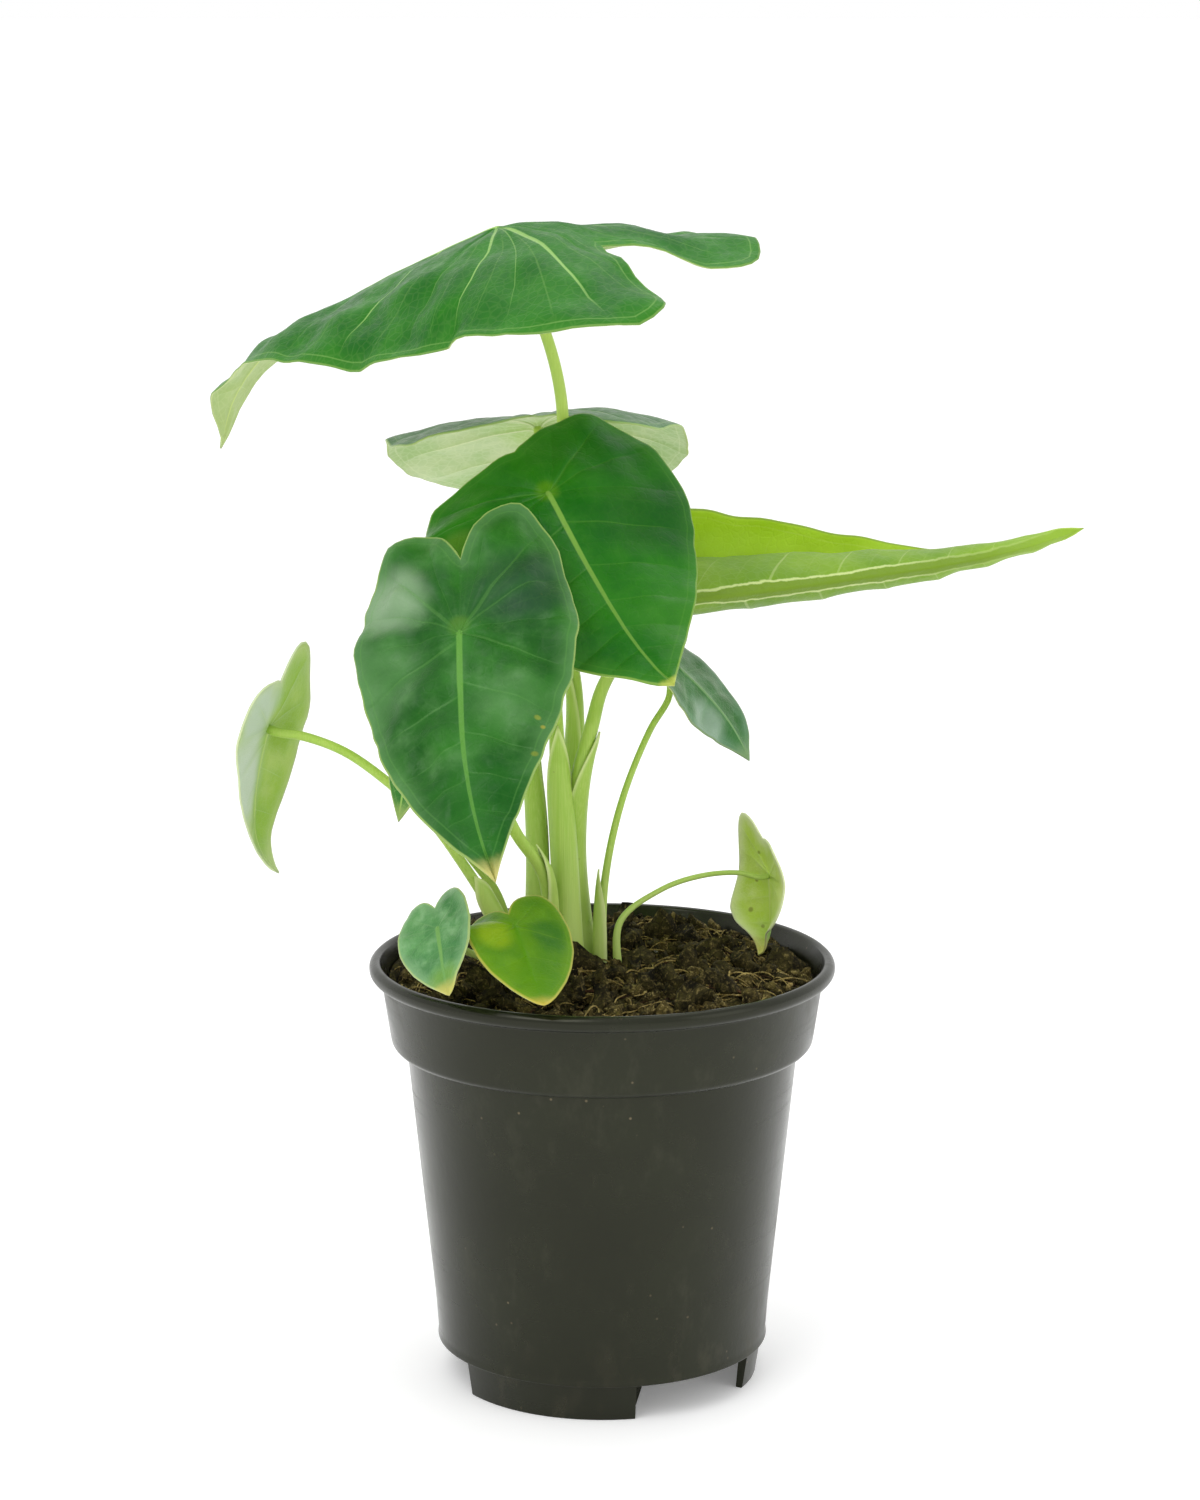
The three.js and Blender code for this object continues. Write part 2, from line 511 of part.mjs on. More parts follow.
// Blade solid: rows run from the midrib to the margin and the side veins stand out underneath
function makeBlade(leaf, grow) {
  const frames = midribFrames(leaf);
  const steps = leaf.fine ? [0, 0.1, 0.3, 0.55, 0.8, 1] : [0, 0.25, 0.65, 1];
  const scale = leaf.fine ? 1 : 0.6;
  const points = [];
  const faces = [];
  const known = new Map();
  const vertex = (x, y, rib, bulge) => {
    const key = `${x.toFixed(4)},${y.toFixed(4)}`;
    if (!known.has(key)) {
      known.set(key, points.length);
      const normal = bladeNormal(leaf, frames, x, y);
      const middle = bladePoint(leaf, frames, x, y).addScaledVector(normal, bulge);
      points.push(middle.clone().addScaledVector(normal, BLADE_THICKNESS / 2 + grow));
      points.push(middle.clone().addScaledVector(normal, -BLADE_THICKNESS / 2 - rib - grow));
    }
    return known.get(key);
  };
  const face = (a, b, c) => {
    faces.push([a, b, c], [a + 1, c + 1, b + 1]);
  };
  const rim = [];
  for (const left of [false, true]) {
    const { points: margin, veins } = halfOutline(leaf, left);
    const sign = left ? -1 : 1;
    const last = margin.length - 1;
    const rows = margin.map((edge, i) => {
      const root = Math.max(0, (edge.y - VEIN_SWEEP * leaf.length) / (1 - VEIN_SWEEP));
      const ripple = Math.sin(i * (left ? 1.15 : 1.3) + (left ? 2 : 0));
      const wave = leaf.wave * ripple * Math.sin((Math.PI * i) / last);
      return steps.map((t) => {
        const middle = MIDRIB_HEIGHT * scale * (1 - clamp01(root / leaf.length)) * (t === 0 ? 1 : 0);
        const vein = veins.includes(i) && t > 0 ? SIDE_RIB_HEIGHT * scale * (1 - t) : 0;
        const back = i === 0 && t > 0 ? 0 : 1;
        return vertex(sign * edge.x * t, root + (edge.y - root) * t, (middle + vein) * back, wave * t * t);
      });
    });
    for (let i = 0; i < last; i += 1) {
      for (let j = 0; j < steps.length - 1; j += 1) {
        const [a, b, c, d] = [rows[i][j], rows[i][j + 1], rows[i + 1][j + 1], rows[i + 1][j]];
        if (left) {
          face(a, c, b);
          face(a, d, c);
        } else {
          face(a, b, c);
          face(a, c, d);
        }
      }
    }
    const edge = rows.map((row) => row[row.length - 1]);
    rim.push(...(left ? edge.reverse().slice(1, -1) : edge));
  }
  rim.forEach((a, i) => {
    const b = rim[(i + 1) % rim.length];
    faces.push([a, a + 1, b + 1], [a, b + 1, b]);
  });
  return closedGeometry(points, faces);
}

// Centre line of a stem: up from its foot, through its points, into the blade's underside
function stemCurve(leaf) {
  const frames = midribFrames(leaf);
  const normal = frames.normal(0);
  const junction = frames.place(0);
  const foot = new THREE.Vector3(leaf.foot[0], leaf.foot[1], STEM_FOOT_Z);
  const lead = new THREE.Vector3(leaf.foot[0], leaf.foot[1], STEM_FOOT_Z + 8);
  const reach = leaf.fine ? 5 : 3;
  return new THREE.CatmullRomCurve3([
    foot, lead, ...leaf.stem.map((p) => new THREE.Vector3(...p)),
    junction.clone().addScaledVector(normal, -reach), junction.clone().addScaledVector(normal, 1.5),
  ], false, 'centripetal');
}

function makeStem(leaf, grow) {
  const curve = stemCurve(leaf);
  const [wide, thin] = leaf.radii;
  const radiusAt = (s) => thin + (wide - thin) * (1 - s) ** 4 + grow;
  const steps = Math.max(8, Math.round(curve.getLength() / 11));
  return toSolid(taperedTube(curve, radiusAt, steps, STEM_SIDES, 2 * grow));
}

// The stem stops short of the blade: the part below the blade is kept
function trimmedStem(leaf) {
  const cut = makeStem(leaf, 0).subtract(toSolid(makeBlade(leaf, BLADE_GAP)));
  const pieces = cut.decompose();
  return pieces.reduce((best, piece) => (piece.volume() > best.volume() ? piece : best));
}

const group = new THREE.Group();

function addMesh(name, geometry, colour, roughness) {
  const material = new THREE.MeshStandardMaterial({ color: colour, roughness, metalness: 0 });
  const mesh = new THREE.Mesh(geometry, material);
  mesh.name = name;
  group.add(mesh);
}

addMesh('pot', makePot(), 0x32362d, 0.35);

let soil = toSolid(makeSoil()).subtract(makeRootstock(HOLLOW_GAP));
for (const [name, leaf] of Object.entries(LEAVES)) {
  addMesh(`${name}_blade`, makeBlade(leaf, 0), leaf.colour, 0.42);
  addMesh(`${name}_stem`, fromSolid(trimmedStem(leaf)), STEM_COLOUR, 0.45);
  soil = soil.subtract(makeStem(leaf, HOLLOW_GAP));
}
addMesh('soil', fromSolid(soil), 0x3b2c1c, 0.95);
addMesh('rootstock', fromSolid(makeRootstock(0)), 0xb79a6a, 0.8);

const box = new THREE.Box3().setFromObject(group);
const middle = box.getCenter(new THREE.Vector3());
group.position.set(-middle.x, -middle.y, -box.min.z);
group.updateMatrixWorld(true);

export default group;
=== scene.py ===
"""Potted frydek alocasia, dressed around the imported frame.

The camera stands first, then the blades, stems, pot and soil are made from the same named values as
the frame's solids. Lengths in the tables are millimetres from the pot's axis at the floor, with +X to
the right and -Y towards the camera; every mesh is placed in metres in the frame.
"""
import math

import bmesh
import bpy
import numpy as np
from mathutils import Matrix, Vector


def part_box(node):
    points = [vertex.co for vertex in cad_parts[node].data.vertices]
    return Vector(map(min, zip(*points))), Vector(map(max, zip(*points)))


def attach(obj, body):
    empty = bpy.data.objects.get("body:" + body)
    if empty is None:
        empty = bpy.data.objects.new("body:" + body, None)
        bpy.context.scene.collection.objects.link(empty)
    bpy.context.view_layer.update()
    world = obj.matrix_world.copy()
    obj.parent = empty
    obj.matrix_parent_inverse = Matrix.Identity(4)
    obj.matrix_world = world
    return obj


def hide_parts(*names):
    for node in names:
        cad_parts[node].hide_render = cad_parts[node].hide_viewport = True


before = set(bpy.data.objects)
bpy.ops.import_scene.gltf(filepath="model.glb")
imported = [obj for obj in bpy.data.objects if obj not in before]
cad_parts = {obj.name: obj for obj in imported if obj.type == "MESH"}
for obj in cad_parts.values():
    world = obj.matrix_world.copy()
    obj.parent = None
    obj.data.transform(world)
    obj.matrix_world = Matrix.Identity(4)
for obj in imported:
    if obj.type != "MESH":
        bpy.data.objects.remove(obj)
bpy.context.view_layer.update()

MM = 0.001
scene = bpy.context.scene
pot_low, pot_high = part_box("pot")
AXIS = np.array([(pot_low[0] + pot_high[0]) / 2, (pot_low[1] + pot_high[1]) / 2, 0.0])


def to_frame(points):
    """Millimetres from the pot's axis to metres in the frame."""
    return np.asarray(points, float) * MM + AXIS


# ---- Camera ----
camera_data = bpy.data.cameras.new("camera")
camera_data.lens, camera_data.sensor_width = 89.66, 36
camera = bpy.data.objects.new("camera", camera_data)
scene.collection.objects.link(camera)
camera.location = (AXIS[0] - 0.00056, AXIS[1] - 0.9345, 0.3514)
camera.rotation_euler = (math.radians(90 - 11.28), 0, 0)  # looks 11.28 degrees down
scene.camera = camera

# ---- Leaf shapes: the same values as the frame's solids ----
LEAVES = {
    "leaf_top": dict(
        junction=[-26.3, 8, 296.4], heading=149, pitch=-22, roll=-4, bend=-8, hook=-54, sway=-7, twist=3,
        fold=[-10, -12], curl=[-7, -38], close=[25, 19], lobe_fold=[17, 15], lobe_bend=42,
        length=109.5, half_width=51.5, lobe=60, notch=31.5, lobe_reach=0.49,
        left_lobe=1.08, sinus=0.3, wave=1.2, fine=True, foot=[-11.2, 5.5], radii=[2.8, 1.5],
        stem=[[-8.3, 10, 142.9], [-6.9, 10.5, 179.5], [-12.5, 13, 205], [-12, 14.5, 228],
              [-10.1, 15, 249.3], [-14.6, 13, 270.6]]),
    "leaf_back": dict(
        junction=[-16.9, 46, 243.1], heading=84, pitch=-32, roll=-6, bend=3, hook=-10, sway=-1, twist=2,
        fold=[10, 7], curl=[-35, -18], close=[9, 9], lobe_fold=[-6, -7], lobe_bend=29,
        length=76, half_width=39.5, lobe=31.5, notch=14.5, lobe_reach=0.58, widest=0.12,
        left_lobe=1.02, left_width=1.04, wave=0.6, fine=True, foot=[-16.5, 1.5], radii=[2.6, 1.3],
        stem=[[-16.5, 3.5, 141.2], [-17.5, 6, 159.1], [-20, 13, 188.8], [-20, 26, 215.6]]),
    "leaf_centre": dict(
        junction=[-13.4, -13, 232.4], heading=-52, pitch=-50, roll=29, bend=18, hook=18, sway=7, twist=-8,
        fold=[-8, -6], curl=[22, -23], close=[6, 4], lobe_fold=[-17, 0], lobe_bend=21,
        length=67.5, half_width=35, lobe=20, notch=16.5, lobe_reach=0.55, widest=0.1,
        left_lobe=1.07, wave=0.6, fine=True, foot=[-8.5, -2.5], radii=[2.9, 1.6],
        stem=[[-9.8, -2, 139.3], [-11.3, -2, 162.8], [-12.5, -2, 193.6], [-13.4, -3, 216]]),
    "leaf_front": dict(
        junction=[-34.1, -51, 203.5], heading=-88, pitch=-55, roll=10, bend=12, hook=-8, sway=-32, twist=7,
        fold=[-9, 5], curl=[-13, -26], close=[1, 4], lobe_fold=[-5, -9], lobe_bend=9,
        length=67, half_width=27.5, lobe=32.5, notch=22, lobe_reach=0.47,
        left_lobe=1.16, left_width=1.02, wave=0.8, fine=True, foot=[-14, -4.2], radii=[2.5, 1.4],
        stem=[[-14.5, -9, 133.1], [-22, -17, 147.7], [-29.1, -28, 167.5], [-33.6, -39, 187]]),
    "leaf_young": dict(
        junction=[18.7, 0, 203.2], heading=15, pitch=4, roll=-69, bend=4, hook=12, sway=7, twist=-11,
        fold=[60, 20], curl=[76, 97], close=[4, 2], lobe_fold=[-20, 0], lobe_bend=0, rolled=True,
        length=110, half_width=28.5, lobe=22, notch=12, lobe_reach=0.5, widest=-0.02,
        left_width=1.78, left_neck=0.1, fine=True, foot=[-5, 3.6], radii=[2.8, 1.6],
        stem=[[-7.5, 3.2, 138.1], [-6.2, 0, 155.9], [-2.6, -1, 171.7], [0.5, 0, 182.1], [9.6, -3, 195.5]]),
    "leaf_dark": dict(
        junction=[19.5, 2, 185.9], heading=3, pitch=-42, roll=19, bend=-19, hook=-9, sway=7, twist=26,
        fold=[-8, -7], curl=[22, 0], close=[-5, -2], lobe_fold=[4, 2], lobe_bend=-4,
        length=30.5, half_width=15.5, lobe=10.5, notch=5.5, lobe_reach=0.5, widest=0.02,
        wave=0.3, foot=[-0.5, -1.5], radii=[2.4, 1.0],
        stem=[[0.7, -1, 131.2], [5.1, 0, 152], [12.2, 2, 169.8], [17, 3, 178]]),
    "leaf_left": dict(
        junction=[-84.3, -12, 173], heading=167, pitch=-72, roll=5, bend=-26, hook=-52, sway=1, twist=-7,
        fold=[-8, -7], curl=[-6, 13], close=[-17, -18], lobe_fold=[11, -3], lobe_bend=-1,
        length=40, half_width=18.5, lobe=22, notch=12.5, lobe_reach=0.49,
        left_lobe=0.64, wave=0.3, foot=[-20, -3.5], radii=[2.9, 1.4],
        stem=[[-27.7, -6, 123.7], [-36.1, -9, 138.3], [-43.6, -11, 149.1], [-52.8, -12, 158.1],
              [-64.7, -13, 167.1], [-75.4, -13, 171.2]]),
    "leaf_hidden": dict(
        junction=[-47.2, -18, 170.2], heading=-120, pitch=-65, roll=0, bend=-8, hook=0, sway=0, twist=0,
        fold=[-6, -6], curl=[-10, -10], close=[0, 0], lobe_fold=[0, 0], lobe_bend=10,
        length=20, half_width=7.8, lobe=9, notch=5.5, lobe_reach=0.5,
        foot=[-22, 2.8], radii=[2.0, 1.1],
        stem=[[-27.1, 1, 126.8], [-35.3, -4, 140.2], [-43, -9, 155.2]]),
    "leaf_rim_left": dict(
        junction=[-40.4, -42, 128.5], heading=-81, pitch=-33, roll=33, bend=2, hook=9, sway=-2, twist=2,
        fold=[0, 7], curl=[4, 6], close=[-2, 1], lobe_fold=[-5, -4], lobe_bend=3,
        length=23, half_width=11, lobe=11.3, notch=7.2, lobe_reach=0.46, widest=0.08,
        left_lobe=0.98, left_width=0.89, wave=0.3, foot=[-15.5, -9.8], radii=[1.8, 0.9],
        stem=[[-23.4, -16, 112.6], [-31.1, -26, 117.5], [-35.8, -34, 122]]),
    "leaf_rim_centre": dict(
        junction=[-21.5, -40, 128.5], heading=-68, pitch=-38, roll=6, bend=8, hook=33, sway=13, twist=-3,
        fold=[-1, -2], curl=[15, -13], close=[0, -5], lobe_fold=[-39, 6], lobe_bend=19,
        length=29, half_width=13, lobe=11, notch=5, lobe_reach=0.6, widest=0.12,
        left_lobe=1.04, left_width=1.05, wave=0.3, foot=[-10, -9], radii=[1.8, 0.9],
        stem=[[-13.8, -15, 113.1], [-18.1, -26, 118.4]]),
    "leaf_rim_right": dict(
        junction=[43.8, 10, 129.9], heading=31, pitch=-85, roll=3, bend=-16, hook=-49, sway=-11, twist=-3,
        fold=[-14, -12], curl=[0, -7], close=[-53, -56], lobe_fold=[3, 15], lobe_bend=18,
        length=22.3, half_width=11.8, lobe=16.8, notch=10.4, lobe_reach=0.48, widest=0.35,
        right_lobe=0.68, left_width=1.02, foot=[4.2, -3.2], radii=[2.0, 0.8],
        stem=[[4.6, -2, 120.4], [14.9, 2, 127.8], [25.3, 6, 130.6], [35.2, 8, 131]]),
}
NECK = 0.28
VEIN_SWEEP = 0.2
HOOK_START = 0.55  # the hook towards the tip begins here, as a part of the length
STEM_FOOT_Z = 98
LEAF_DEFAULTS = dict(left_lobe=1, right_lobe=1, left_width=1, left_neck=NECK, sinus=0.1, widest=0, wave=0,
                     fine=False, rolled=False)
for leaf in LEAVES.values():
    for key, value in LEAF_DEFAULTS.items():
        leaf.setdefault(key, value)


def smooth(value):
    value = np.clip(value, 0, 1)
    return value * value * (3 - 2 * value)


def bezier(points, t):
    p0, p1, p2, p3 = [np.array(p, float) for p in points]
    t = np.asarray(t)[:, None]
    return (1 - t) ** 3 * p0 + 3 * (1 - t) ** 2 * t * p1 + 3 * (1 - t) * t * t * p2 + t ** 3 * p3


def arc_length(line):
    """Running length at each point of a line."""
    return np.concatenate([[0], np.cumsum(np.linalg.norm(np.diff(line, axis=0), axis=1))])


def between(where, known, values):
    """Rows of values, given at known places, interpolated at others."""
    return np.stack([np.interp(where, known, values[:, k]) for k in range(values.shape[1])], -1)


def unit(vectors):
    return vectors / np.maximum(np.linalg.norm(vectors, axis=-1), 1e-9)[..., None]


def circle(count):
    """Angles once round, in radians."""
    return np.linspace(0, 2 * math.pi, count, endpoint=False)


class Surface:
    """Middle surface of one blade: flat points, x right and y to the tip, carried into space."""

    def __init__(self, leaf):
        self.leaf = leaf
        length, lobe = leaf["length"], leaf["lobe"]
        self.y = np.linspace(-1.15 * lobe, length, 61)
        part = np.clip(self.y / length, 0, 1)
        hooked = np.clip((part - HOOK_START) / (1 - HOOK_START), 0, 1) ** 1.5
        back = smooth((0.12 * length - self.y) / (0.12 * length + 0.6 * lobe))
        pitch = leaf["pitch"] + leaf["bend"] * part + leaf["hook"] * hooked + leaf["lobe_bend"] * back
        pitch = np.radians(pitch)
        sway = np.radians(leaf["sway"] * part * part)
        roll = np.radians(leaf["roll"] + leaf["twist"] * part)
        heading = math.radians(leaf["heading"])
        ahead = np.array([math.cos(heading), math.sin(heading), 0.0])
        up = np.array([0, 0, 1.0])
        side = np.cross(ahead, up)
        level = np.cos(sway)[:, None] * ahead + np.sin(sway)[:, None] * side
        forward = np.cos(pitch)[:, None] * level + np.sin(pitch)[:, None] * up
        normal = -np.sin(pitch)[:, None] * level + np.cos(pitch)[:, None] * up
        right = np.cross(forward, normal)
        self.normal = np.cos(roll)[:, None] * normal + np.sin(roll)[:, None] * right
        self.right = np.cos(roll)[:, None] * right - np.sin(roll)[:, None] * normal
        step = self.y[1] - self.y[0]
        place = np.vstack([np.zeros(3), np.cumsum((forward[1:] + forward[:-1]) * step / 2, 0)])
        self.place = place - between(0, self.y, place) + np.array(leaf["junction"], float)

    def points(self, x, y):
        leaf = self.leaf
        left = (x < 0).astype(int)
        across = np.abs(x)
        part = np.clip(y / leaf["length"], 0, 1)
        back = smooth(-y / leaf["lobe"])
        pick = {key: np.array(leaf[key], float)[left] for key in ("fold", "close", "lobe_fold", "curl")}
        fold = (pick["fold"] + pick["close"] * part ** 1.5) * (1 - part ** 12) + pick["lobe_fold"] * back
        fold = np.radians(fold)
        tighter = np.maximum(0.15, 1 - part * part) if leaf["rolled"] else 1
        bend = np.radians(pick["curl"]) / leaf["half_width"] / tighter
        bend = np.where(np.abs(bend) < 1e-6, 1e-6, bend)
        out = (np.sin(fold + bend * across) - np.sin(fold)) / bend
        rise = (np.cos(fold) - np.cos(fold + bend * across)) / bend
        out = np.where(left == 1, -out, out)
        return (between(y, self.y, self.place) + out[:, None] * between(y, self.y, self.right)
                + rise[:, None] * between(y, self.y, self.normal))

    def normals(self, x, y):
        h = 0.5
        across = self.points(x + h, y) - self.points(x - h, y)
        along = self.points(x, y + h) - self.points(x, y - h)
        return unit(np.cross(across, along))


def half_outline(leaf, left):
    """Dense flat outline of one half, and the running number of the frame's outline points on it."""
    width = leaf["half_width"] * (leaf["left_width"] if left else 1)
    lobe = leaf["lobe"] * leaf["left_lobe" if left else "right_lobe"]
    reach = leaf["lobe_reach"] * width
    length, notch = leaf["length"], leaf["notch"]
    wide = leaf["widest"] * length
    neck = leaf["left_neck"] if left else NECK
    counts = (5, 5, 13) if leaf["fine"] else (3, 3, 7)
    curves = [
        [(0, -notch), (leaf["sinus"] * width, -notch - 0.55 * (lobe - notch)), (0.5 * reach, -lobe),
         (reach, -lobe)],
        [(reach, -lobe), (reach + 0.58 * (width - reach), -lobe), (width, wide - 0.55 * (wide + lobe)),
         (width, wide)],
        [(width, wide), (width, wide + 0.38 * (length - wide)), (neck * width, 0.8 * length), (0, length)],
    ]
    points, numbers, begun = [], [], 0
    for count, curve in zip(counts, curves):
        t = np.linspace(0, 1, 121)[(1 if begun else 0):]
        points.append(bezier(curve, t))
        numbers.append(begun + count * t)
        begun += count
    return np.vstack(points), np.concatenate(numbers), begun


# ---- Meshes ----
def make_object(name, points, faces, materials, slots=None):
    mesh = bpy.data.meshes.new(name)
    mesh.from_pydata(to_frame(points).tolist(), [], faces)
    for material in materials:
        mesh.materials.append(material)
    if slots is not None:
        mesh.polygons.foreach_set("material_index", np.asarray(slots, np.int32))
    mesh.polygons.foreach_set("use_smooth", np.ones(len(mesh.polygons), bool))
    mesh.update()
    piece = bpy.data.objects.new(name, mesh)
    scene.collection.objects.link(piece)
    return piece


def add_attribute(piece, name, values, kind="FLOAT"):
    attribute = piece.data.attributes.new(name, kind, "POINT")
    field = "value" if kind == "FLOAT" else "vector"
    attribute.data.foreach_set(field, np.asarray(values, np.float32).ravel())


def recalculate(piece):
    """Turn all of a mesh's faces outward."""
    mesh = bmesh.new()
    mesh.from_mesh(piece.data)
    bmesh.ops.recalc_face_normals(mesh, faces=mesh.faces)
    mesh.to_mesh(piece.data)
    mesh.free()


def quads(rows, columns, closed=True):
    """Point numbers of the quads between rows of points; closed joins each row's end to its start."""
    faces = []
    for row in range(0, (rows - 1) * columns, columns):
        for j in range(columns if closed else columns - 1):
            k = (j + 1) % columns
            faces.append([row + j, row + k, row + columns + k, row + columns + j])
    return faces


def capped(rows, columns):
    """Faces of a tube of rings with a face at each end."""
    last = (rows - 1) * columns
    return quads(rows, columns) + [list(range(columns))[::-1], list(range(last, last + columns))]


# ---- Blades ----
# Where the side veins reach the margin, as a part of the way round from notch to tip, and how stout
BIG_VEINS = ((0.11, 0.2), (0.23, 1.15), (0.345, 0.6), (0.45, 0.28), (0.55, 0.8), (0.645, 0.6), (0.73, 0.5),
             (0.80, 0.42), (0.865, 0.34), (0.925, 0.25))
TOP_VEINS = ((0.11, 0.1), (0.23, 1.25), (0.345, 0.3), (0.45, 0.8), (0.55, 0.2), (0.645, 0.7), (0.73, 0.2),
             (0.80, 0.45), (0.865, 0.2), (0.925, 0.25))
SMALL_VEINS = ((0.24, 0.8), (0.40, 0.5), (0.54, 0.65), (0.67, 0.5), (0.79, 0.4), (0.89, 0.3))
ROWS = np.array([0, 0.03, 0.06, 0.11, 0.18, 0.28, 0.4, 0.52, 0.64, 0.76, 0.86, 0.94, 1.0])
FINE_ROWS = np.array([0, 0.012, 0.026, 0.045, 0.07, 0.1, 0.14, 0.19, 0.25, 0.32, 0.39, 0.46, 0.53, 0.6, 0.67,
                      0.74, 0.8, 0.86, 0.91, 0.95, 0.98, 1.0])
HALF_THICKNESS = 0.25
MARGIN_OUT = 0.16  # how far the margin's own row stands out
ON_RIB = 1e-4  # points nearer to the midrib than this lie on it
SEED_STEP = 37.0  # keeps the leaves apart in the noise textures


class Half:
    """One half of a flat blade: its outline, and its grid of columns from the midrib to the margin."""

    def __init__(self, leaf, left):
        self.leaf, self.left = leaf, left
        self.outline, self.numbers, self.last = half_outline(leaf, left)
        self.arc = arc_length(self.outline)
        self.lowest = int(np.argmin(self.outline[:, 1]))
        self.border = self.share_at(VEIN_SWEEP * leaf["length"])  # where the fan from the junction ends

    def share_at(self, y):
        """Part of the way round the margin, from notch to tip, at a height above the lobe's lowest point."""
        return np.interp(y, self.outline[self.lowest:, 1], self.arc[self.lowest:]) / self.arc[-1]

    def wanted(self, veins, spread):
        """Places on the margin that need a column: evenly spread, and close together at each vein."""
        offsets = np.array([-1.6, -0.8, -0.35, 0, 0.35, 0.8, 1.6]) * (1 if self.leaf["fine"] else 0.6)
        near_veins = [where + offsets / self.arc[-1] for where, _ in veins]
        places = np.unique(np.clip(np.concatenate([np.linspace(0, 1, spread)] + near_veins), 0, 1))
        return places[np.concatenate([[True], np.diff(places) > 0.25 / self.arc[-1]])]

    def grid(self, look, veins, ts, u, root):
        """Flat points by column and row, and for each point the gap from vein to vein, the vein's stoutness,
        the part of the way out, the margin's wave and the running number of the vein."""
        arc, outline, seed = self.arc, self.outline, look["seed"]
        number = np.interp(u * arc[-1], arc, self.numbers)
        swell = np.sin(np.pi * number / self.last)
        start = np.stack([np.zeros(len(u)), root], -1)
        edge = between(u * arc[-1], arc, outline)
        ragged = np.sin(number * 2.7 + 3 * self.left + seed) + 0.6 * np.sin(number * 4.9 + seed)
        edge[:, 0] *= 1 + look["ragged"] * ragged * swell
        edge[-1], edge[0] = start[-1], outline[0]
        # Columns curve towards the tip on their way out, and those of the fan follow the lobe's own vein
        middle = (start + edge) / 2
        middle[:, 1] -= 0.08 * np.maximum(edge[:, 1] - root, 0)
        lobe_end = between(veins[1 if self.leaf["fine"] else 0][0] * arc[-1], arc, outline)
        pull = 0.6 * np.sin(np.pi * np.clip(u / self.border, 0, 1)) ** 2
        middle = middle + (lobe_end * 0.42 - middle) * pull[:, None]
        t = ts[None, :, None]
        grid = (1 - t) ** 2 * start[:, None] + 2 * (1 - t) * t * middle[:, None] + t * t * edge[:, None]

        s = np.interp(u, [0] + [where for where, _ in veins] + [1], np.arange(len(veins) + 2))
        across = np.gradient(grid, axis=0) / np.maximum(np.gradient(s), 1e-6)[:, None, None]
        along = unit(np.gradient(grid, axis=1))
        across -= (across * along).sum(2)[..., None] * along
        strength = np.array([0.2] + [stout for _, stout in veins] + [0.2])[np.round(s).astype(int)]
        ripple = np.sin(number * (1.15 if self.left else 1.3) + (2 if self.left else 0))
        wave = (self.leaf["wave"] * ripple * swell)[:, None] * ts * ts
        gap = np.linalg.norm(across, axis=2)
        extra = np.stack(np.broadcast_arrays(gap, strength[:, None], ts, wave, s[:, None]), -1)
        return grid * [-1 if self.left else 1, 1], extra


def blade_columns(halves, veins, spread):
    """Each half's columns as places on the margin and roots on the midrib: the fan from the junction, then
    columns whose roots both halves share."""
    length = halves[0].leaf["length"]
    edge_y = VEIN_SWEEP * length
    fans, roots = [], [[length]]
    for half in halves:
        wanted, total = half.wanted(veins, spread), half.arc[-1]
        fans.append(np.concatenate([wanted[wanted < half.border - 0.3 / total], [half.border]]))
        later = wanted[wanted > half.border + 0.3 / total]
        edge = np.interp(later * total, half.arc, half.outline[:, 1])
        roots.append((edge - edge_y) / (1 - VEIN_SWEEP))
    shared = np.unique(np.concatenate(roots))
    shared = shared[np.concatenate([[True], np.diff(shared) > 0.12])]
    shared[-1] = length
    edge = edge_y + (1 - VEIN_SWEEP) * shared
    return [(np.concatenate([fan, half.share_at(edge)]), np.concatenate([np.zeros(len(fan)), shared]))
            for fan, half in zip(fans, halves)]


def margin_distance(points, margins):
    """Distance of flat points from the nearest margin, in blocks to spare the memory."""
    rim = np.full(len(points), np.inf)
    for line in margins:
        run = np.diff(line, axis=0)
        for i in range(0, len(points), 1000):
            part = points[i:i + 1000, None] - line[:-1]
            along = np.clip((part * run).sum(-1) / np.maximum((run ** 2).sum(-1), 1e-9), 0, 1)
            found = np.linalg.norm(part - along[..., None] * run, axis=2).min(1)
            rim[i:i + 1000] = np.minimum(rim[i:i + 1000], found)
    return rim


def billows(x, y, look):
    """Soft waves of three sizes over the whole blade."""
    x, y, turn = x / look["billow_size"], y / look["billow_size"], look["seed"] * 1.3
    waves = np.sin(x * 5.1 + turn + 0.9 * np.sin(y * 3.7)) * np.sin(y * 4.3 + 2.1 * turn)
    waves += 0.6 * np.sin((0.8 * x + 0.6 * y) * 8.3 + 3 * turn) * np.sin((0.7 * y - 0.9 * x) * 6.9)
    return waves + 0.32 * np.sin(x * 11.7 + 5 * turn + 1.3 * np.sin(y * 7.9)) * np.sin(y * 10.3 + turn)


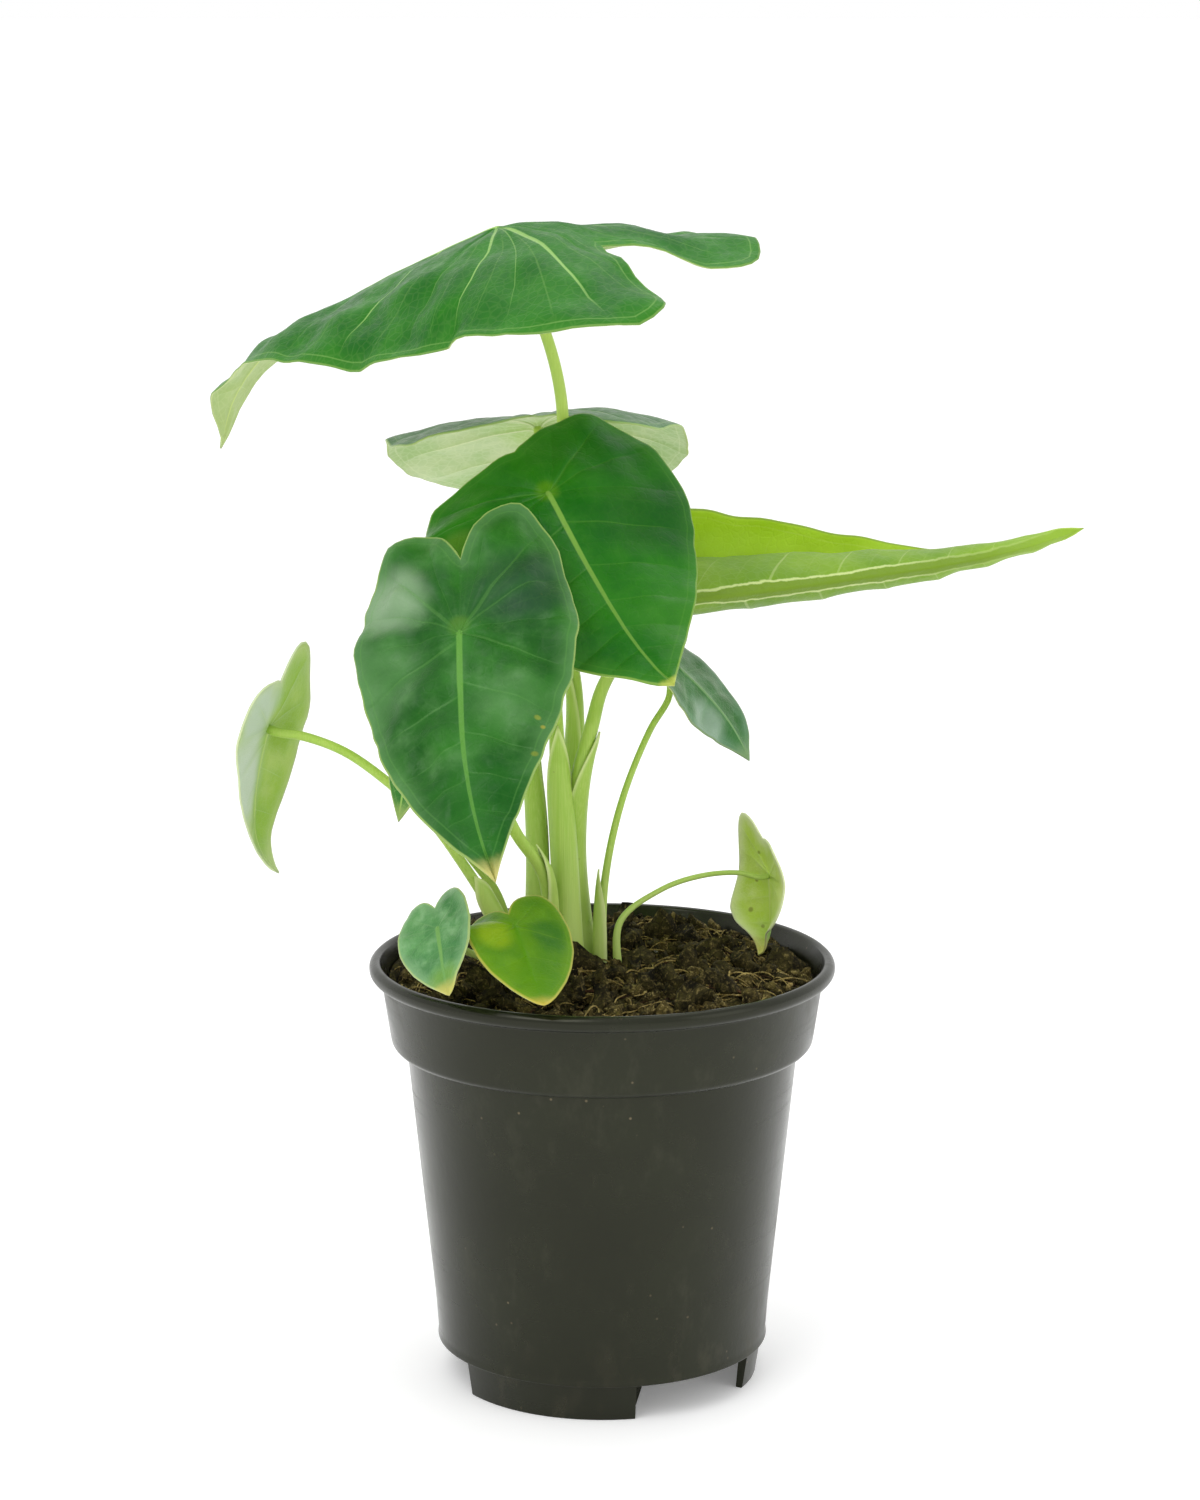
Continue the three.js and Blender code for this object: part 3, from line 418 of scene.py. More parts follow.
def blade_sides(leaf, look, x, y, from_rib, extra):
    """Middle, upper and lower surface in space: waves and pillows, sunken veins above, raised veins below."""
    surface = Surface(leaf)
    gap, stout, tt, wave, ss = extra
    scale = 1.0 if leaf["fine"] else 0.55
    distance = np.abs(ss - np.round(ss)) * gap
    pillow = np.sin(np.pi * (ss - np.floor(ss))) ** 0.8 * np.clip(gap / 14, 0, 1)
    pillow *= np.sin(np.pi * np.clip(tt, 0, 1)) ** 0.7
    pillow *= look["pillow"] * scale
    strong = scale * stout * (1 - 0.8 * tt) * (tt > 0.01)
    groove = 0.2 * strong * np.exp(-(distance / (0.55 * scale)) ** 2)
    ridge = 0.42 * look["relief"] * strong * np.exp(-(distance / (0.6 * scale)) ** 2)
    ahead = np.clip(1 - y / leaf["length"], 0, 1)
    rib_wide = (0.35 + 0.95 * ahead) * scale
    rib_high = look["relief"] * scale * ahead
    top_rib = 0.4 * rib_high * np.exp(-(from_rib / rib_wide) ** 2)
    low_rib = rib_high * np.exp(-(from_rib / (1.15 * rib_wide)) ** 2)
    fine_wave = 0.22 * scale * np.sin(x * 0.31 + 1.7 * np.sin(y * 0.11)) * np.sin(y * 0.23 + 0.8) * smooth(tt)
    billow = billows(x, y, look) * (look["billow"] * (0.2 + 0.8 * smooth(2 * tt)))
    normal = surface.normals(x, y)
    middle = surface.points(x, y) + normal * (wave + pillow + fine_wave + billow)[:, None]
    upper = middle + normal * (HALF_THICKNESS - groove + top_rib)[:, None]
    lower = middle - normal * (HALF_THICKNESS + ridge + low_rib)[:, None]
    return middle, upper, lower


def skin_faces(cells, same, vein_uv, loop, count):
    """Faces, upper side and underside in turn, with their vein UVs, and the strip round the margin between."""
    faces, corner_uv = [], []
    for quad in cells:
        ids = same[quad]
        kept = [k for k in range(4) if ids[k] != ids[k - 1]]
        ring = [int(ids[k]) for k in kept]
        if len(kept) < 3 or len(set(ring)) < len(ring):
            continue
        ring_uv = [vein_uv[quad[k]] for k in kept]
        faces += [ring, [i + count for i in reversed(ring)]]
        corner_uv += ring_uv + ring_uv[::-1]
    for k, a in enumerate(loop):
        after = (k + 1) % len(loop)
        b, ea, eb = loop[after], 2 * count + k, 2 * count + after
        faces += [[a, ea, eb, b], [ea, a + count, b + count, eb]]
        corner_uv += [(0.5, 1.0)] * 8
    return faces, corner_uv


def make_blade(name, leaf, look):
    """One blade: both halves' grids joined, their relief, and the two sides as one closed skin."""
    fine = leaf["fine"]
    veins = look["veins"] or (BIG_VEINS if fine else SMALL_VEINS)
    halves = [Half(leaf, False), Half(leaf, True)]
    columns = blade_columns(halves, veins, 60 if fine else 34)
    rows = FINE_ROWS if fine else ROWS
    grids = [half.grid(look, veins, rows, *column) for half, column in zip(halves, columns)]
    flat = np.vstack([grid.reshape(-1, 2) for grid, _ in grids])
    extra = np.vstack([values.reshape(-1, 5) for _, values in grids])
    right, left = np.split(np.arange(len(flat)).reshape(-1, len(rows)), [len(grids[0][0])])
    cells = [np.stack([ids[:-1, :-1], ids[:-1, 1:], ids[1:, 1:], ids[1:, :-1]], -1).reshape(-1, 4)
             for ids in (right, left)]
    cells = np.vstack([cells[0], cells[1][:, ::-1]])

    _, first, same = np.unique(np.round(flat, 3) + 0.0, axis=0, return_index=True, return_inverse=True)
    same = same.ravel()
    count = len(first)
    x, y = flat[first].T
    on_rib = np.abs(x) < ON_RIB
    x = np.where(on_rib, 0, x)
    from_rib = np.where(y >= 0, np.abs(x), np.hypot(x, y))
    rim = margin_distance(np.stack([x, y], -1), [grid[:, -1] for grid, _ in grids])
    rim = np.where((y < 0) & on_rib, np.abs(y + leaf["notch"]), rim)
    middle, upper, lower = blade_sides(leaf, look, x, y, from_rib, extra[first].T)

    # The margin's own row, a little outside both sides, closes the blade
    loop, inner = [np.concatenate([same[right[:, -k]], same[left[:, -k]][::-1][1:-1]]) for k in (1, 2)]
    keep = np.concatenate([[True], loop[1:] != loop[:-1]])
    loop, inner = loop[keep], inner[keep]
    tangent = unit(middle[np.roll(loop, -1)] - middle[np.roll(loop, 1)])
    outward = middle[loop] - middle[inner]
    outward = unit(outward - (outward * tangent).sum(1)[:, None] * tangent)
    points = np.vstack([upper, lower, middle[loop] + outward * MARGIN_OUT])

    vein_uv = extra[:, [4, 2]].tolist()
    faces, corner_uv = skin_faces(cells, same, vein_uv, loop.tolist(), count)
    slots = [0, 1] * (len(faces) // 2)
    piece = make_object(f"{name}_blade_skin", points, faces, look["materials"], slots)
    layer = piece.data.uv_layers.new(name="veins")
    layer.data.foreach_set("uv", np.asarray(corner_uv, np.float32).ravel())
    where = np.stack([x, y, np.full(count, look["seed"] * SEED_STEP)], -1)
    add_attribute(piece, "flat", np.vstack([where, where, where[loop]]), "FLOAT_VECTOR")
    gap, stout = extra[first, :2].T
    for key, values in (("gap", gap), ("stout", stout), ("rim", rim), ("rib", from_rib)):
        tail = np.zeros(len(loop)) if key == "rim" else values[loop]
        add_attribute(piece, key, np.concatenate([values, values, tail]))
    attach(piece, "root")
    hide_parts(f"{name}_blade")


# ---- Materials ----
def tone(red, green, blue, less=0.0):
    """A colour given as seen, 0 to 255, as the shader's linear value."""
    def linear(value):
        value /= 255
        value = value / 12.92 if value <= 0.04045 else ((value + 0.055) / 1.055) ** 2.4
        return max(0.0015, value - less)
    return (linear(red), linear(green), linear(blue), 1.0)


class Finish:
    """A procedural material and the few node steps that it is made with."""

    def __init__(self, name, roughness, specular=0.5, sheen=0.0, sheen_tint=(1, 1, 1, 1)):
        self.material = bpy.data.materials.new(name)
        self.material.use_nodes = True
        self.tree = self.material.node_tree
        self.tree.nodes.clear()
        self.shader = self.node("BsdfPrincipled")
        self.tree.links.new(self.shader.outputs[0], self.node("OutputMaterial").inputs[0])
        self.put("Roughness", roughness)
        self.put("Specular IOR Level", specular)
        if sheen:
            self.put("Sheen Weight", sheen)
            self.put("Sheen Roughness", 0.45)
            self.put("Sheen Tint", sheen_tint)

    def node(self, kind, inputs=(), **settings):
        """A new node with its settings; the inputs are given by name or number."""
        node = self.tree.nodes.new("ShaderNode" + kind)
        for key, value in settings.items():
            setattr(node, key, value)
        for key, value in dict(inputs).items():
            self.feed(node.inputs[key], value)
        return node

    def put(self, name, value):
        self.feed(self.shader.inputs[name], value)

    def feed(self, socket, value):
        if isinstance(value, bpy.types.NodeSocket):
            self.tree.links.new(value, socket)
        else:
            socket.default_value = value

    def calc(self, operation, *values):
        return self.node("Math", enumerate(values), operation=operation).outputs[0]

    def times(self, a, b, plus=None):
        return self.calc("MULTIPLY", a, b) if plus is None else self.calc("MULTIPLY_ADD", a, b, plus)

    def ramp(self, value, start, end, low=0.0, high=1.0):
        """Smooth step from start to end."""
        inputs = enumerate((value, start, end, low, high))
        return self.node("MapRange", inputs, interpolation_type="SMOOTHSTEP").outputs[0]

    def mix(self, factor, a, b):
        return self.node("Mix", {0: factor, 6: a, 7: b}, data_type="RGBA").outputs[2]

    def coat(self, factor, paint):
        """Lay a paint over the base colour, as much as the factor says."""
        self.base = self.mix(factor, self.base, paint)

    def read(self, name, output="Fac"):
        return self.node("Attribute", attribute_name=name).outputs[output]

    def place(self):
        return self.node("TexCoord").outputs["Object"]

    def noise(self, vector, scale, detail=3.0, rough=0.5):
        inputs = {"Vector": vector, "Scale": scale, "Detail": detail, "Roughness": rough}
        return self.node("TexNoise", inputs).outputs[0]

    def cells(self, vector, scale, feature="DISTANCE_TO_EDGE"):
        inputs = {"Vector": vector, "Scale": scale}
        return self.node("TexVoronoi", inputs, feature=feature).outputs["Distance"]

    def stretch(self, vector, scale):
        return self.node("VectorMath", {0: vector, 1: scale}, operation="MULTIPLY").outputs[0]

    def split(self, vector):
        return self.node("SeparateXYZ", {0: vector}).outputs

    def away(self, vector, point):
        """Distance in the flat blade from a point, in millimetres."""
        parts = self.split(vector)
        dx, dy = [self.calc("SUBTRACT", parts[k], point[k]) for k in (0, 1)]
        return self.calc("SQRT", self.calc("ADD", self.times(dx, dx), self.times(dy, dy)))

    def bump(self, height, strength, distance):
        inputs = {"Height": height, "Strength": strength, "Distance": distance}
        self.put("Normal", self.node("Bump", inputs).outputs[0])

    def done(self):
        self.put("Base Color", self.base)
        return self.material


def blade_finish(name, leaf, look, side, under):
    """Material of a blade's upper side or underside."""
    scale = 1.0 if leaf["fine"] else 0.6
    finish = Finish(name, 0.5, 0.3 if under else look["specular"], look["sheen"], tone(232, 240, 222))
    calc, times, ramp, coat = finish.calc, finish.times, finish.ramp, finish.coat
    flat = finish.read("flat", "Vector")
    rim, rib, gap, stout = [finish.read(key) for key in ("rim", "rib", "gap", "stout")]
    s, t, _ = finish.split(finish.node("UVMap", uv_map="veins").outputs[0])
    y = finish.split(flat)[1]
    large = finish.noise(flat, 0.045 / scale, 3)
    small = finish.noise(flat, 0.35, 4, 0.6)
    mottle = finish.noise(flat, 0.14 / scale, 4, 0.55)

    # Ground, clouded, paler towards the margin, and broad patches of the leaf's own tone, painted sheen and
    # painted shade
    finish.base = side["deep"]
    coat(ramp(large, 0.36, 0.66), side["mid"])
    coat(ramp(small, 0.35, 0.75, 0.0, 0.22), side["mid"])
    coat(ramp(mottle, 0.47, 0.8, 0.0, side["mottle"]), side["rim"])
    coat(ramp(mottle, 0.52, 0.3, 0.0, side["mottle"]), side["deep"])
    near_rim = ramp(calc("ADD", rim, times(large, 6 * scale)), 9 * scale, 2 * scale)
    coat(times(near_rim, side["rim_share"]), side["rim"])
    for point, radius, share, paint in side["patches"]:
        away = calc("ADD", finish.away(flat, point), times(calc("SUBTRACT", large, 0.5), radius * 0.7))
        coat(ramp(away, radius, radius * 0.35, 0.0, share), paint)
    # Fine net of the smallest veins
    net = ramp(finish.cells(flat, 0.42 / scale), 0.0, 0.16, 1.0, 0.0)
    coat(times(net, side["net"]), side["vein"])
    # Side veins at whole numbers of s, fainter ones halfway between
    whole = calc("ABSOLUTE", calc("SUBTRACT", s, calc("ROUND", s)))
    off = times(whole, gap)
    halo = times(ramp(off, 3.2 * scale, 0.0), ramp(t, 1.0, 0.5))
    coat(times(halo, side["halo"]), side["halo_colour"])
    halfway = times(calc("SUBTRACT", 0.5, whole), gap)
    faint = times(ramp(halfway, 0.28 * scale, 0.1 * scale), ramp(t, 0.1, 0.3))
    faint = times(faint, ramp(t, 0.98, 0.8))
    coat(times(faint, 0.16 * side["vein_share"]), side["vein"])
    wide = times(times(t, -0.85, 1.0), stout)
    wide = times(wide, side["vein_width"] * scale, 0.04 * scale)
    vein = ramp(off, times(wide, 1.25), times(wide, 0.55))
    vein = times(vein, ramp(t, 0.985, 0.6))
    shown = times(vein, ramp(stout, 0.1, 1.0, 0.35, 1.0))
    coat(times(shown, side["vein_share"]), side["vein"])
    # Collecting vein just inside the margin
    collector = calc("ABSOLUTE", calc("SUBTRACT", rim, 2.2 * scale))
    coat(ramp(collector, 0.28 * scale, 0.08 * scale, 0.0, 0.25), side["vein"])
    # Midrib, narrower towards the tip, with a soft glow beside it
    rib_wide = times(ramp(y, leaf["length"], 0.0), look["rib_width"] * scale, 0.3 * scale)
    midrib = ramp(rib, times(rib_wide, 1.3), times(rib_wide, 0.7))
    coat(ramp(rib, 7 * scale, 0.0, 0.0, side["rib_glow"]), side["halo_colour"])
    coat(times(midrib, ramp(y, leaf["length"] * 0.75, 0.0, side["rib_end"], 1.0)), side["rib"])
    if "crease" in side:
        # A rolled blade's last turn: an olive band along the midrib, painted shade of the half that bulges
        # below it, and a pale line where it folds
        bent = times(small, 1.6, times(large, 3.0, rib))
        coat(ramp(bent, 4.9, 4.2), side["crease"])
        line = ramp(calc("ABSOLUTE", calc("SUBTRACT", bent, 4.7)), 0.6, 0.15)
        coat(times(line, ramp(y, 80, 50, 0.25, 0.9)), side["vein"])
    # Spots, freckles, the pale margin and the tip
    for point, radius, share, paint in side["spots"]:
        coat(ramp(finish.away(flat, point), radius, radius * 0.4, 0.0, share), paint)
    coat(ramp(finish.noise(flat, 1.3, 2), 0.74, 0.8, 0.0, 0.15), tone(120, 110, 60))
    coat(ramp(rim, side["margin_width"], 0.1), side["margin"])
    tip = ramp(calc("ADD", y, times(small, 3)), leaf["length"] - look["tip_length"], leaf["length"])
    coat(times(tip, look["tip_share"]), look["tip"])

    rough = ramp(small, 0.3, 0.7, *((0.5, 0.66) if under else (0.30, 0.50)))
    finish.put("Roughness", times(vein, -0.06, rough))
    skin = finish.noise(flat, 2.4, 3, 0.6)
    finish.bump(times(net, 0.35 if under else -0.35, times(skin, 0.5)), 0.35, 0.00025)
    return finish.done()


def plant_tone(*colour):
    """A colour as seen, made a little purer, as the bright surroundings wash the plant out."""
    return tone(*colour, less=0.012)


PAINTS = ("deep", "mid", "rim", "vein", "rib", "halo_colour", "margin")


def paints(*colours, **more):
    """One side of a blade: the colours of PAINTS as seen, and what differs from the usual shares."""
    side = dict(mottle=0.3, rim_share=0.6, net=0.05, halo=0.2, vein_width=0.5, vein_share=0.8, rib_glow=0.3,
                rib_end=1.0, margin_width=0.45, patches=(), spots=())
    side.update(zip(PAINTS, [plant_tone(*colour) for colour in colours]))
    side.update(more)
    for key in ("patches", "spots"):
        side[key] = [(*spot, plant_tone(*colour)) for *spot, colour in side[key]]
    if "crease" in side:
        side["crease"] = plant_tone(*side["crease"])
    return side


UNDER = paints((165, 192, 120), (190, 208, 145), (178, 200, 130), (214, 224, 168), (205, 222, 140),
               (180, 202, 118), (190, 205, 140), net=0.18, vein_share=0.75)
LOOK_DEFAULTS = dict(
    veins=None, specular=0.24, sheen=0.16, rib_width=0.7, tip_length=5, tip_share=0.8, pillow=0.8, relief=1,
    billow=0.25, billow_size=22, ragged=0.006, under=UNDER)
# Patches and spots: place in the flat blade, radius, share and colour; some patches are painted sheen and
# painted shade, the rest the leaf's own tone
LOOKS = {
    "leaf_top": dict(
        slot="blade_dark", tip=tone(185, 205, 130), tip_length=9, pillow=0.45, billow=1.0, billow_size=30,
        ragged=0.007, sheen=0.03, specular=0.13, veins=TOP_VEINS, rib_width=0.55,
        upper=paints((30, 92, 22), (48, 116, 34), (70, 132, 50), (150, 190, 108), (158, 198, 104),
                     (50, 120, 30), (110, 150, 74), vein_width=0.6, halo=0.35, rib_end=0.5, mottle=0.35,
                     patches=(((-20, -25), 34, 0.3, (60, 108, 56)), ((18, 60), 30, 0.3, (56, 108, 40))))),
    "leaf_back": dict(
        slot="blade_dark", tip=tone(170, 190, 110),
        upper=paints((34, 94, 42), (55, 118, 52), (68, 128, 60), (160, 195, 120), (165, 200, 110),
                     (62, 135, 55), (150, 180, 110)),
        under=paints((150, 184, 112), (192, 208, 158), (176, 198, 140), (220, 228, 184), (190, 212, 128),
                     (172, 198, 118), (170, 190, 120), net=0.18,
                     patches=(((0, 8), 16, 0.6, (150, 190, 70)),))),
    "leaf_centre": dict(
        slot="blade_dark", tip=tone(205, 205, 90), tip_length=2.5, tip_share=0.5, rib_width=0.3, billow=0.6,
        billow_size=24, sheen=0.06, specular=0.15,
        upper=paints((32, 94, 24), (46, 112, 32), (68, 128, 48), (84, 138, 54), (118, 160, 70),
                     (44, 112, 28), (120, 156, 70), vein_width=0.32, vein_share=0.35, rib_glow=0.2, net=0.03,
                     rib_end=0.6, mottle=0.4, patches=(
                         ((27, 6), 9, 0.45, (104, 146, 44)), ((-22, 14), 18, 0.55, (24, 78, 14)),
                         ((0, -1), 4, 0.45, (120, 166, 34)), ((-14, 44), 14, 0.3, (66, 126, 44))))),
    # The front blade's dark grey-green patches on the lobes are painted shade and its pale grey-green patches
    # painted sheen; the deep yellow-green patch low on the blade and the small one at the junction are its own
    # colour
    "leaf_front": dict(
        slot="blade_grey", tip=tone(196, 186, 110), tip_length=6, sheen=0.08, specular=0.16, rib_width=0.45,
        billow=1.2, billow_size=21, pillow=1.3, ragged=0.011,
        upper=paints((22, 78, 18), (50, 108, 40), (96, 142, 86), (92, 144, 72), (92, 146, 62),
                     (58, 122, 46), (140, 168, 92), margin_width=0.5, vein_share=0.3, net=0.03, rib_end=0.7,
                     mottle=0.45, patches=(
                         ((-14, -13), 16, 0.85, (42, 72, 50)), ((7, -17), 7, 0.6, (40, 78, 44)),
                         ((18, -14), 13, 0.7, (144, 172, 136)), ((20, 8), 14, 0.4, (98, 142, 90)),
                         ((0, -2), 3.5, 0.25, (132, 166, 60)), ((-6, 52), 24, 0.95, (22, 84, 4)),
                         ((-12, 20), 12, 0.4, (96, 144, 86))), spots=(
                         ((-18, 25), 1.1, 0.5, (150, 156, 56)), ((-19, 28), 0.8, 0.6, (160, 150, 56)),
                         ((-16.5, 35), 1.2, 0.5, (140, 146, 50))))),
    "leaf_young": dict(
        slot="blade_lime", tip=tone(150, 188, 52), tip_length=34, tip_share=0.6, sheen=0.1, rib_width=0.3,
        pillow=0.35, relief=0.2, billow=0.35, ragged=0.008,
        upper=paints((160, 202, 34), (170, 210, 46), (172, 208, 60), (190, 218, 90), (190, 215, 110),
                     (170, 208, 56), (140, 170, 60), net=0.04, vein_share=0.5, rim_share=0.3),
        # The underside's crease colour is painted shade along the midrib of the rolled blade
        under=paints((102, 142, 26), (124, 160, 44), (120, 154, 40), (198, 212, 142), (112, 142, 40),
                     (134, 168, 58), (176, 198, 100), net=0.04, vein_share=0.3, halo=0.08, rim_share=0.4,
                     rib_glow=0, crease=(112, 142, 38))),
    # The dark blade's whitish patch is painted sheen
    "leaf_dark": dict(
        slot="blade_grey", tip=tone(110, 140, 90), sheen=0.45, billow=0.4, billow_size=16, ragged=0.02,
        upper=paints((36, 96, 34), (62, 116, 62), (110, 146, 118), (110, 150, 104), (110, 150, 96),
                     (70, 124, 66), (120, 146, 104), vein_share=0.35, mottle=0.6,
                     patches=(((7, 14), 8, 0.6, (156, 178, 160)),))),
    "leaf_left": dict(
        slot="blade_pale", tip=tone(190, 205, 150), sheen=0.2, tip_length=10,
        upper=paints((70, 125, 75), (100, 148, 104), (140, 172, 135), (170, 196, 160), (160, 190, 130),
                     (110, 152, 108), (190, 206, 165)),
        under=paints((150, 190, 66), (176, 204, 100), (190, 210, 140), (200, 218, 160), (186, 210, 120),
                     (140, 182, 80), (206, 218, 172), net=0.06, vein_share=0.4, patches=(
                         ((8, 2), 9, 0.7, (136, 176, 34)), ((-10, -6), 14, 1.0, (190, 208, 184)),
                         ((-11, 12), 15, 1.0, (196, 212, 190))))),
    "leaf_hidden": dict(
        slot="blade_dark", tip=tone(140, 165, 90),
        upper=paints((38, 98, 42), (56, 118, 50), (80, 135, 66), (140, 175, 110), (140, 180, 90),
                     (62, 130, 54), (160, 180, 110))),
    "leaf_rim_left": dict(
        slot="blade_grey", tip=tone(196, 186, 92), sheen=0.35, billow=0.3, billow_size=10,
        upper=paints((56, 116, 62), (94, 148, 90), (142, 182, 136), (116, 162, 104), (110, 158, 84),
                     (92, 146, 86), (160, 184, 116), net=0.08, vein_share=0.4, mottle=0.7,
                     patches=(((0, 17), 6, 0.7, (120, 160, 50)),))),
    "leaf_rim_centre": dict(
        slot="blade_lime", tip=tone(200, 180, 70), sheen=0.12,
        upper=paints((76, 128, 16), (98, 146, 20), (116, 156, 30), (120, 162, 44), (90, 142, 26),
                     (98, 148, 26), (175, 176, 76), margin_width=0.6, vein_share=0.4, patches=(
                         ((6, 1), 7, 0.9, (140, 170, 20)), ((-7, 3), 7, 0.85, (50, 108, 12)),
                         ((-1, 17), 8, 0.5, (76, 130, 14))))),
    "leaf_rim_right": dict(
        slot="blade_lime", tip=tone(206, 200, 100), sheen=0.15,
        upper=paints((110, 160, 40), (140, 180, 60), (170, 200, 100), (180, 205, 120), (180, 205, 110),
                     (140, 185, 60), (200, 215, 150)),
        under=paints((184, 214, 78), (208, 228, 116), (236, 242, 198), (208, 224, 150), (196, 216, 116),
                     (176, 208, 88), (220, 228, 180), net=0.1, vein_share=0.4, spots=(
                         ((-5, 2), 0.8, 0.8, (120, 130, 50)), ((-3, -6), 0.7, 0.7, (110, 125, 50)),
                         ((-6, 10), 0.9, 0.7, (130, 135, 60)), ((-2, 14), 0.7, 0.6, (120, 130, 60))))),
}
for seed, (leaf_name, given) in enumerate(LOOKS.items(), 1):
    leaf, look = LEAVES[leaf_name], {**LOOK_DEFAULTS, **given, "seed": seed}
    look["materials"] = [blade_finish(f"{leaf_name}_{key}", leaf, look, look[key], key == "under")
                         for key in ("upper", "under")]
    make_blade(leaf_name, leaf, look)


# ---- Stems ----
def stem_finish():
    finish = Finish("stem_skin", 0.42, 0.35, 0.1, tone(240, 245, 220))
    ramp, coat = finish.ramp, finish.coat
    flat = finish.read("flat", "Vector")
    height = finish.split(flat)[2]
    streaks = finish.noise(finish.stretch(flat, (3.0, 3.0, 0.06)), 1.0, 3, 0.6)
    finish.base = plant_tone(186, 208, 118)
    coat(ramp(height, 104, 150), plant_tone(160, 196, 80))
    coat(ramp(height, 150, 225), plant_tone(172, 202, 90))
    coat(ramp(streaks, 0.35, 0.7, 0.0, 0.5), plant_tone(186, 208, 110))
    coat(ramp(finish.noise(flat, 0.09, 3), 0.5, 0.7, 0.0, 0.3), plant_tone(138, 178, 52))
    coat(ramp(height, 112, 103, 0.0, 0.5), plant_tone(206, 216, 160))
    coat(ramp(finish.noise(flat, 1.1, 2), 0.72, 0.78, 0.0, 0.4), tone(120, 128, 62))
    coat(ramp(finish.read("rim"), 0.9, 0.1, 0.0, 0.75), plant_tone(214, 226, 158))
    finish.put("Roughness", ramp(streaks, 0.3, 0.7, 0.36, 0.52))
    finish.bump(streaks, 0.4, 0.0003)
    return finish.done()


STEM_SKIN = stem_finish()


def stem_line(leaf, count):
    """Centripetal curve through the same points as the frame's stem, evenly spaced."""
    surface = Surface(leaf)
    junction = surface.points(np.zeros(1), np.zeros(1))[0]
    normal = between(0, surface.y, surface.normal)
    reach = 5 if leaf["fine"] else 3  # the last bend before the blade
    foot = np.array([*leaf["foot"], STEM_FOOT_Z], float)
    knots = [foot, foot + [0, 0, 8]] + [np.array(p, float) for p in leaf["stem"]]
    knots += [junction - reach * normal, junction - 0.35 * normal]
    knots = np.array(knots)
    ends = np.vstack([2 * knots[0] - knots[1], knots, 2 * knots[-1] - knots[-2]])
    line = []
    for i in range(len(knots) - 1):
        p0, p1, p2, p3 = ends[i:i + 4]
        d0, d1, d2 = [math.sqrt(np.linalg.norm(b - a)) for a, b in ((p0, p1), (p1, p2), (p2, p3))]
        m1 = ((p1 - p0) / d0 - (p2 - p0) / (d0 + d1) + (p2 - p1) / d1) * d1
        m2 = ((p2 - p1) / d1 - (p3 - p1) / (d1 + d2) + (p3 - p2) / d2) * d1
        t = np.linspace(0, 1, 25)[(1 if i else 0):, None]
        line.append((2 * t ** 3 - 3 * t ** 2 + 1) * p1 + (t ** 3 - 2 * t ** 2 + t) * m1
                    + (-2 * t ** 3 + 3 * t ** 2) * p2 + (t ** 3 - t ** 2) * m2)
    line = np.vstack(line)
    arc = arc_length(line)
    return between(np.linspace(0, arc[-1], count), arc, line)


def turning_frames(line):
    """Two directions across a line at each point, turned along it without twist."""
    tangent = unit(np.gradient(line, axis=0))
    a = [unit(np.array([1.0, 0, 0]) - tangent[0] * tangent[0][0])]
    for way in tangent[1:]:
        a.append(unit(a[-1] - way * (a[-1] @ way)))
    a = np.array(a)
    return a, np.cross(tangent, a)


def tube(line, radius, sides, ribs=0.0):
    """Closed tube along a line, with nine faint ribs: points, faces."""
    a, b = turning_frames(line)
    angle = circle(sides)
    r = radius[:, None] * (1 + ribs * np.cos(angle * 9)[None])
    ring = line[:, None] + r[..., None] * (np.cos(angle)[None, :, None] * a[:, None]
                                           + np.sin(angle)[None, :, None] * b[:, None])
    return ring.reshape(-1, 3), capped(len(line), sides)


SHEATH_ROWS, SHEATH_COLUMNS = 40, 25
SHEATH_LAYERS = (0.42, 0.06)  # outer and inner side, above the stem's skin


def sheath(line, radius, top, middle_deg, half_deg, flare):
    """Thin wrap round the foot of a stem that narrows to a point at height top: points, faces, rim."""
    a, b = turning_frames(line)
    reach = int(np.argmax(line[:, 2] > top)) or len(line) - 1
    count, columns = SHEATH_ROWS, SHEATH_COLUMNS
    points, rim = [], []
    for layer in SHEATH_LAYERS:
        for k, row in enumerate(np.linspace(0, reach, count)):
            share = k / (count - 1)
            i = min(int(row), len(line) - 2)
            f = row - i
            centre = line[i] * (1 - f) + line[i + 1] * f
            aa, bb = a[i], b[i]
            half = math.radians(half_deg) * max(0.02, 1 - share ** 5)
            r = radius[i] * (1 - f) + radius[i + 1] * f
            for c in np.linspace(-1, 1, columns):
                angle = math.radians(middle_deg) + c * half
                lift = layer + flare * smooth(share) * (1 - 0.35 * c * c) + 0.25 * c ** 4
                points.append(centre + (r + lift) * (math.cos(angle) * aa + math.sin(angle) * bb))
                rim.append((1 - abs(c)) * half * r)
    size = count * columns
    faces = []
    for quad in quads(count, columns, False):
        faces += [quad, [size + i for i in reversed(quad)]]
    border = [k * columns for k in range(count)]
    border += [(count - 1) * columns + c for c in range(1, columns)]
    border += [k * columns + columns - 1 for k in reversed(range(count - 1))]
    border += list(reversed(range(1, columns - 1)))
    for i, p in enumerate(border):
        q = border[(i + 1) % len(border)]
        faces.append([q, p, size + p, size + q][::-1])
    return np.array(points), faces, np.array(rim)


# Height of a sheath's point, bearing of its middle, half width in degrees, how far the tip stands off
SHEATHS = {
    "leaf_top": (192, 200, 120, 0.4),
    "leaf_back": (186, 205, 125, 0.7),
    "leaf_centre": (172, 280, 130, 0.3),
    "leaf_front": (141, 20, 125, 0.7),
    "leaf_young": (170, 330, 120, 0.4),
    "leaf_dark": (133, 190, 125, 0.8),
    "leaf_left": (133, 300, 130, 0.8),
}
NO_RIM = 9.0  # far from any sheath's rim
SLENDER = ("leaf_left", "leaf_dark", "leaf_rim_right")
CLUMP = ("leaf_top", "leaf_back", "leaf_centre", "leaf_young")  # their lower stems make up the thick clump


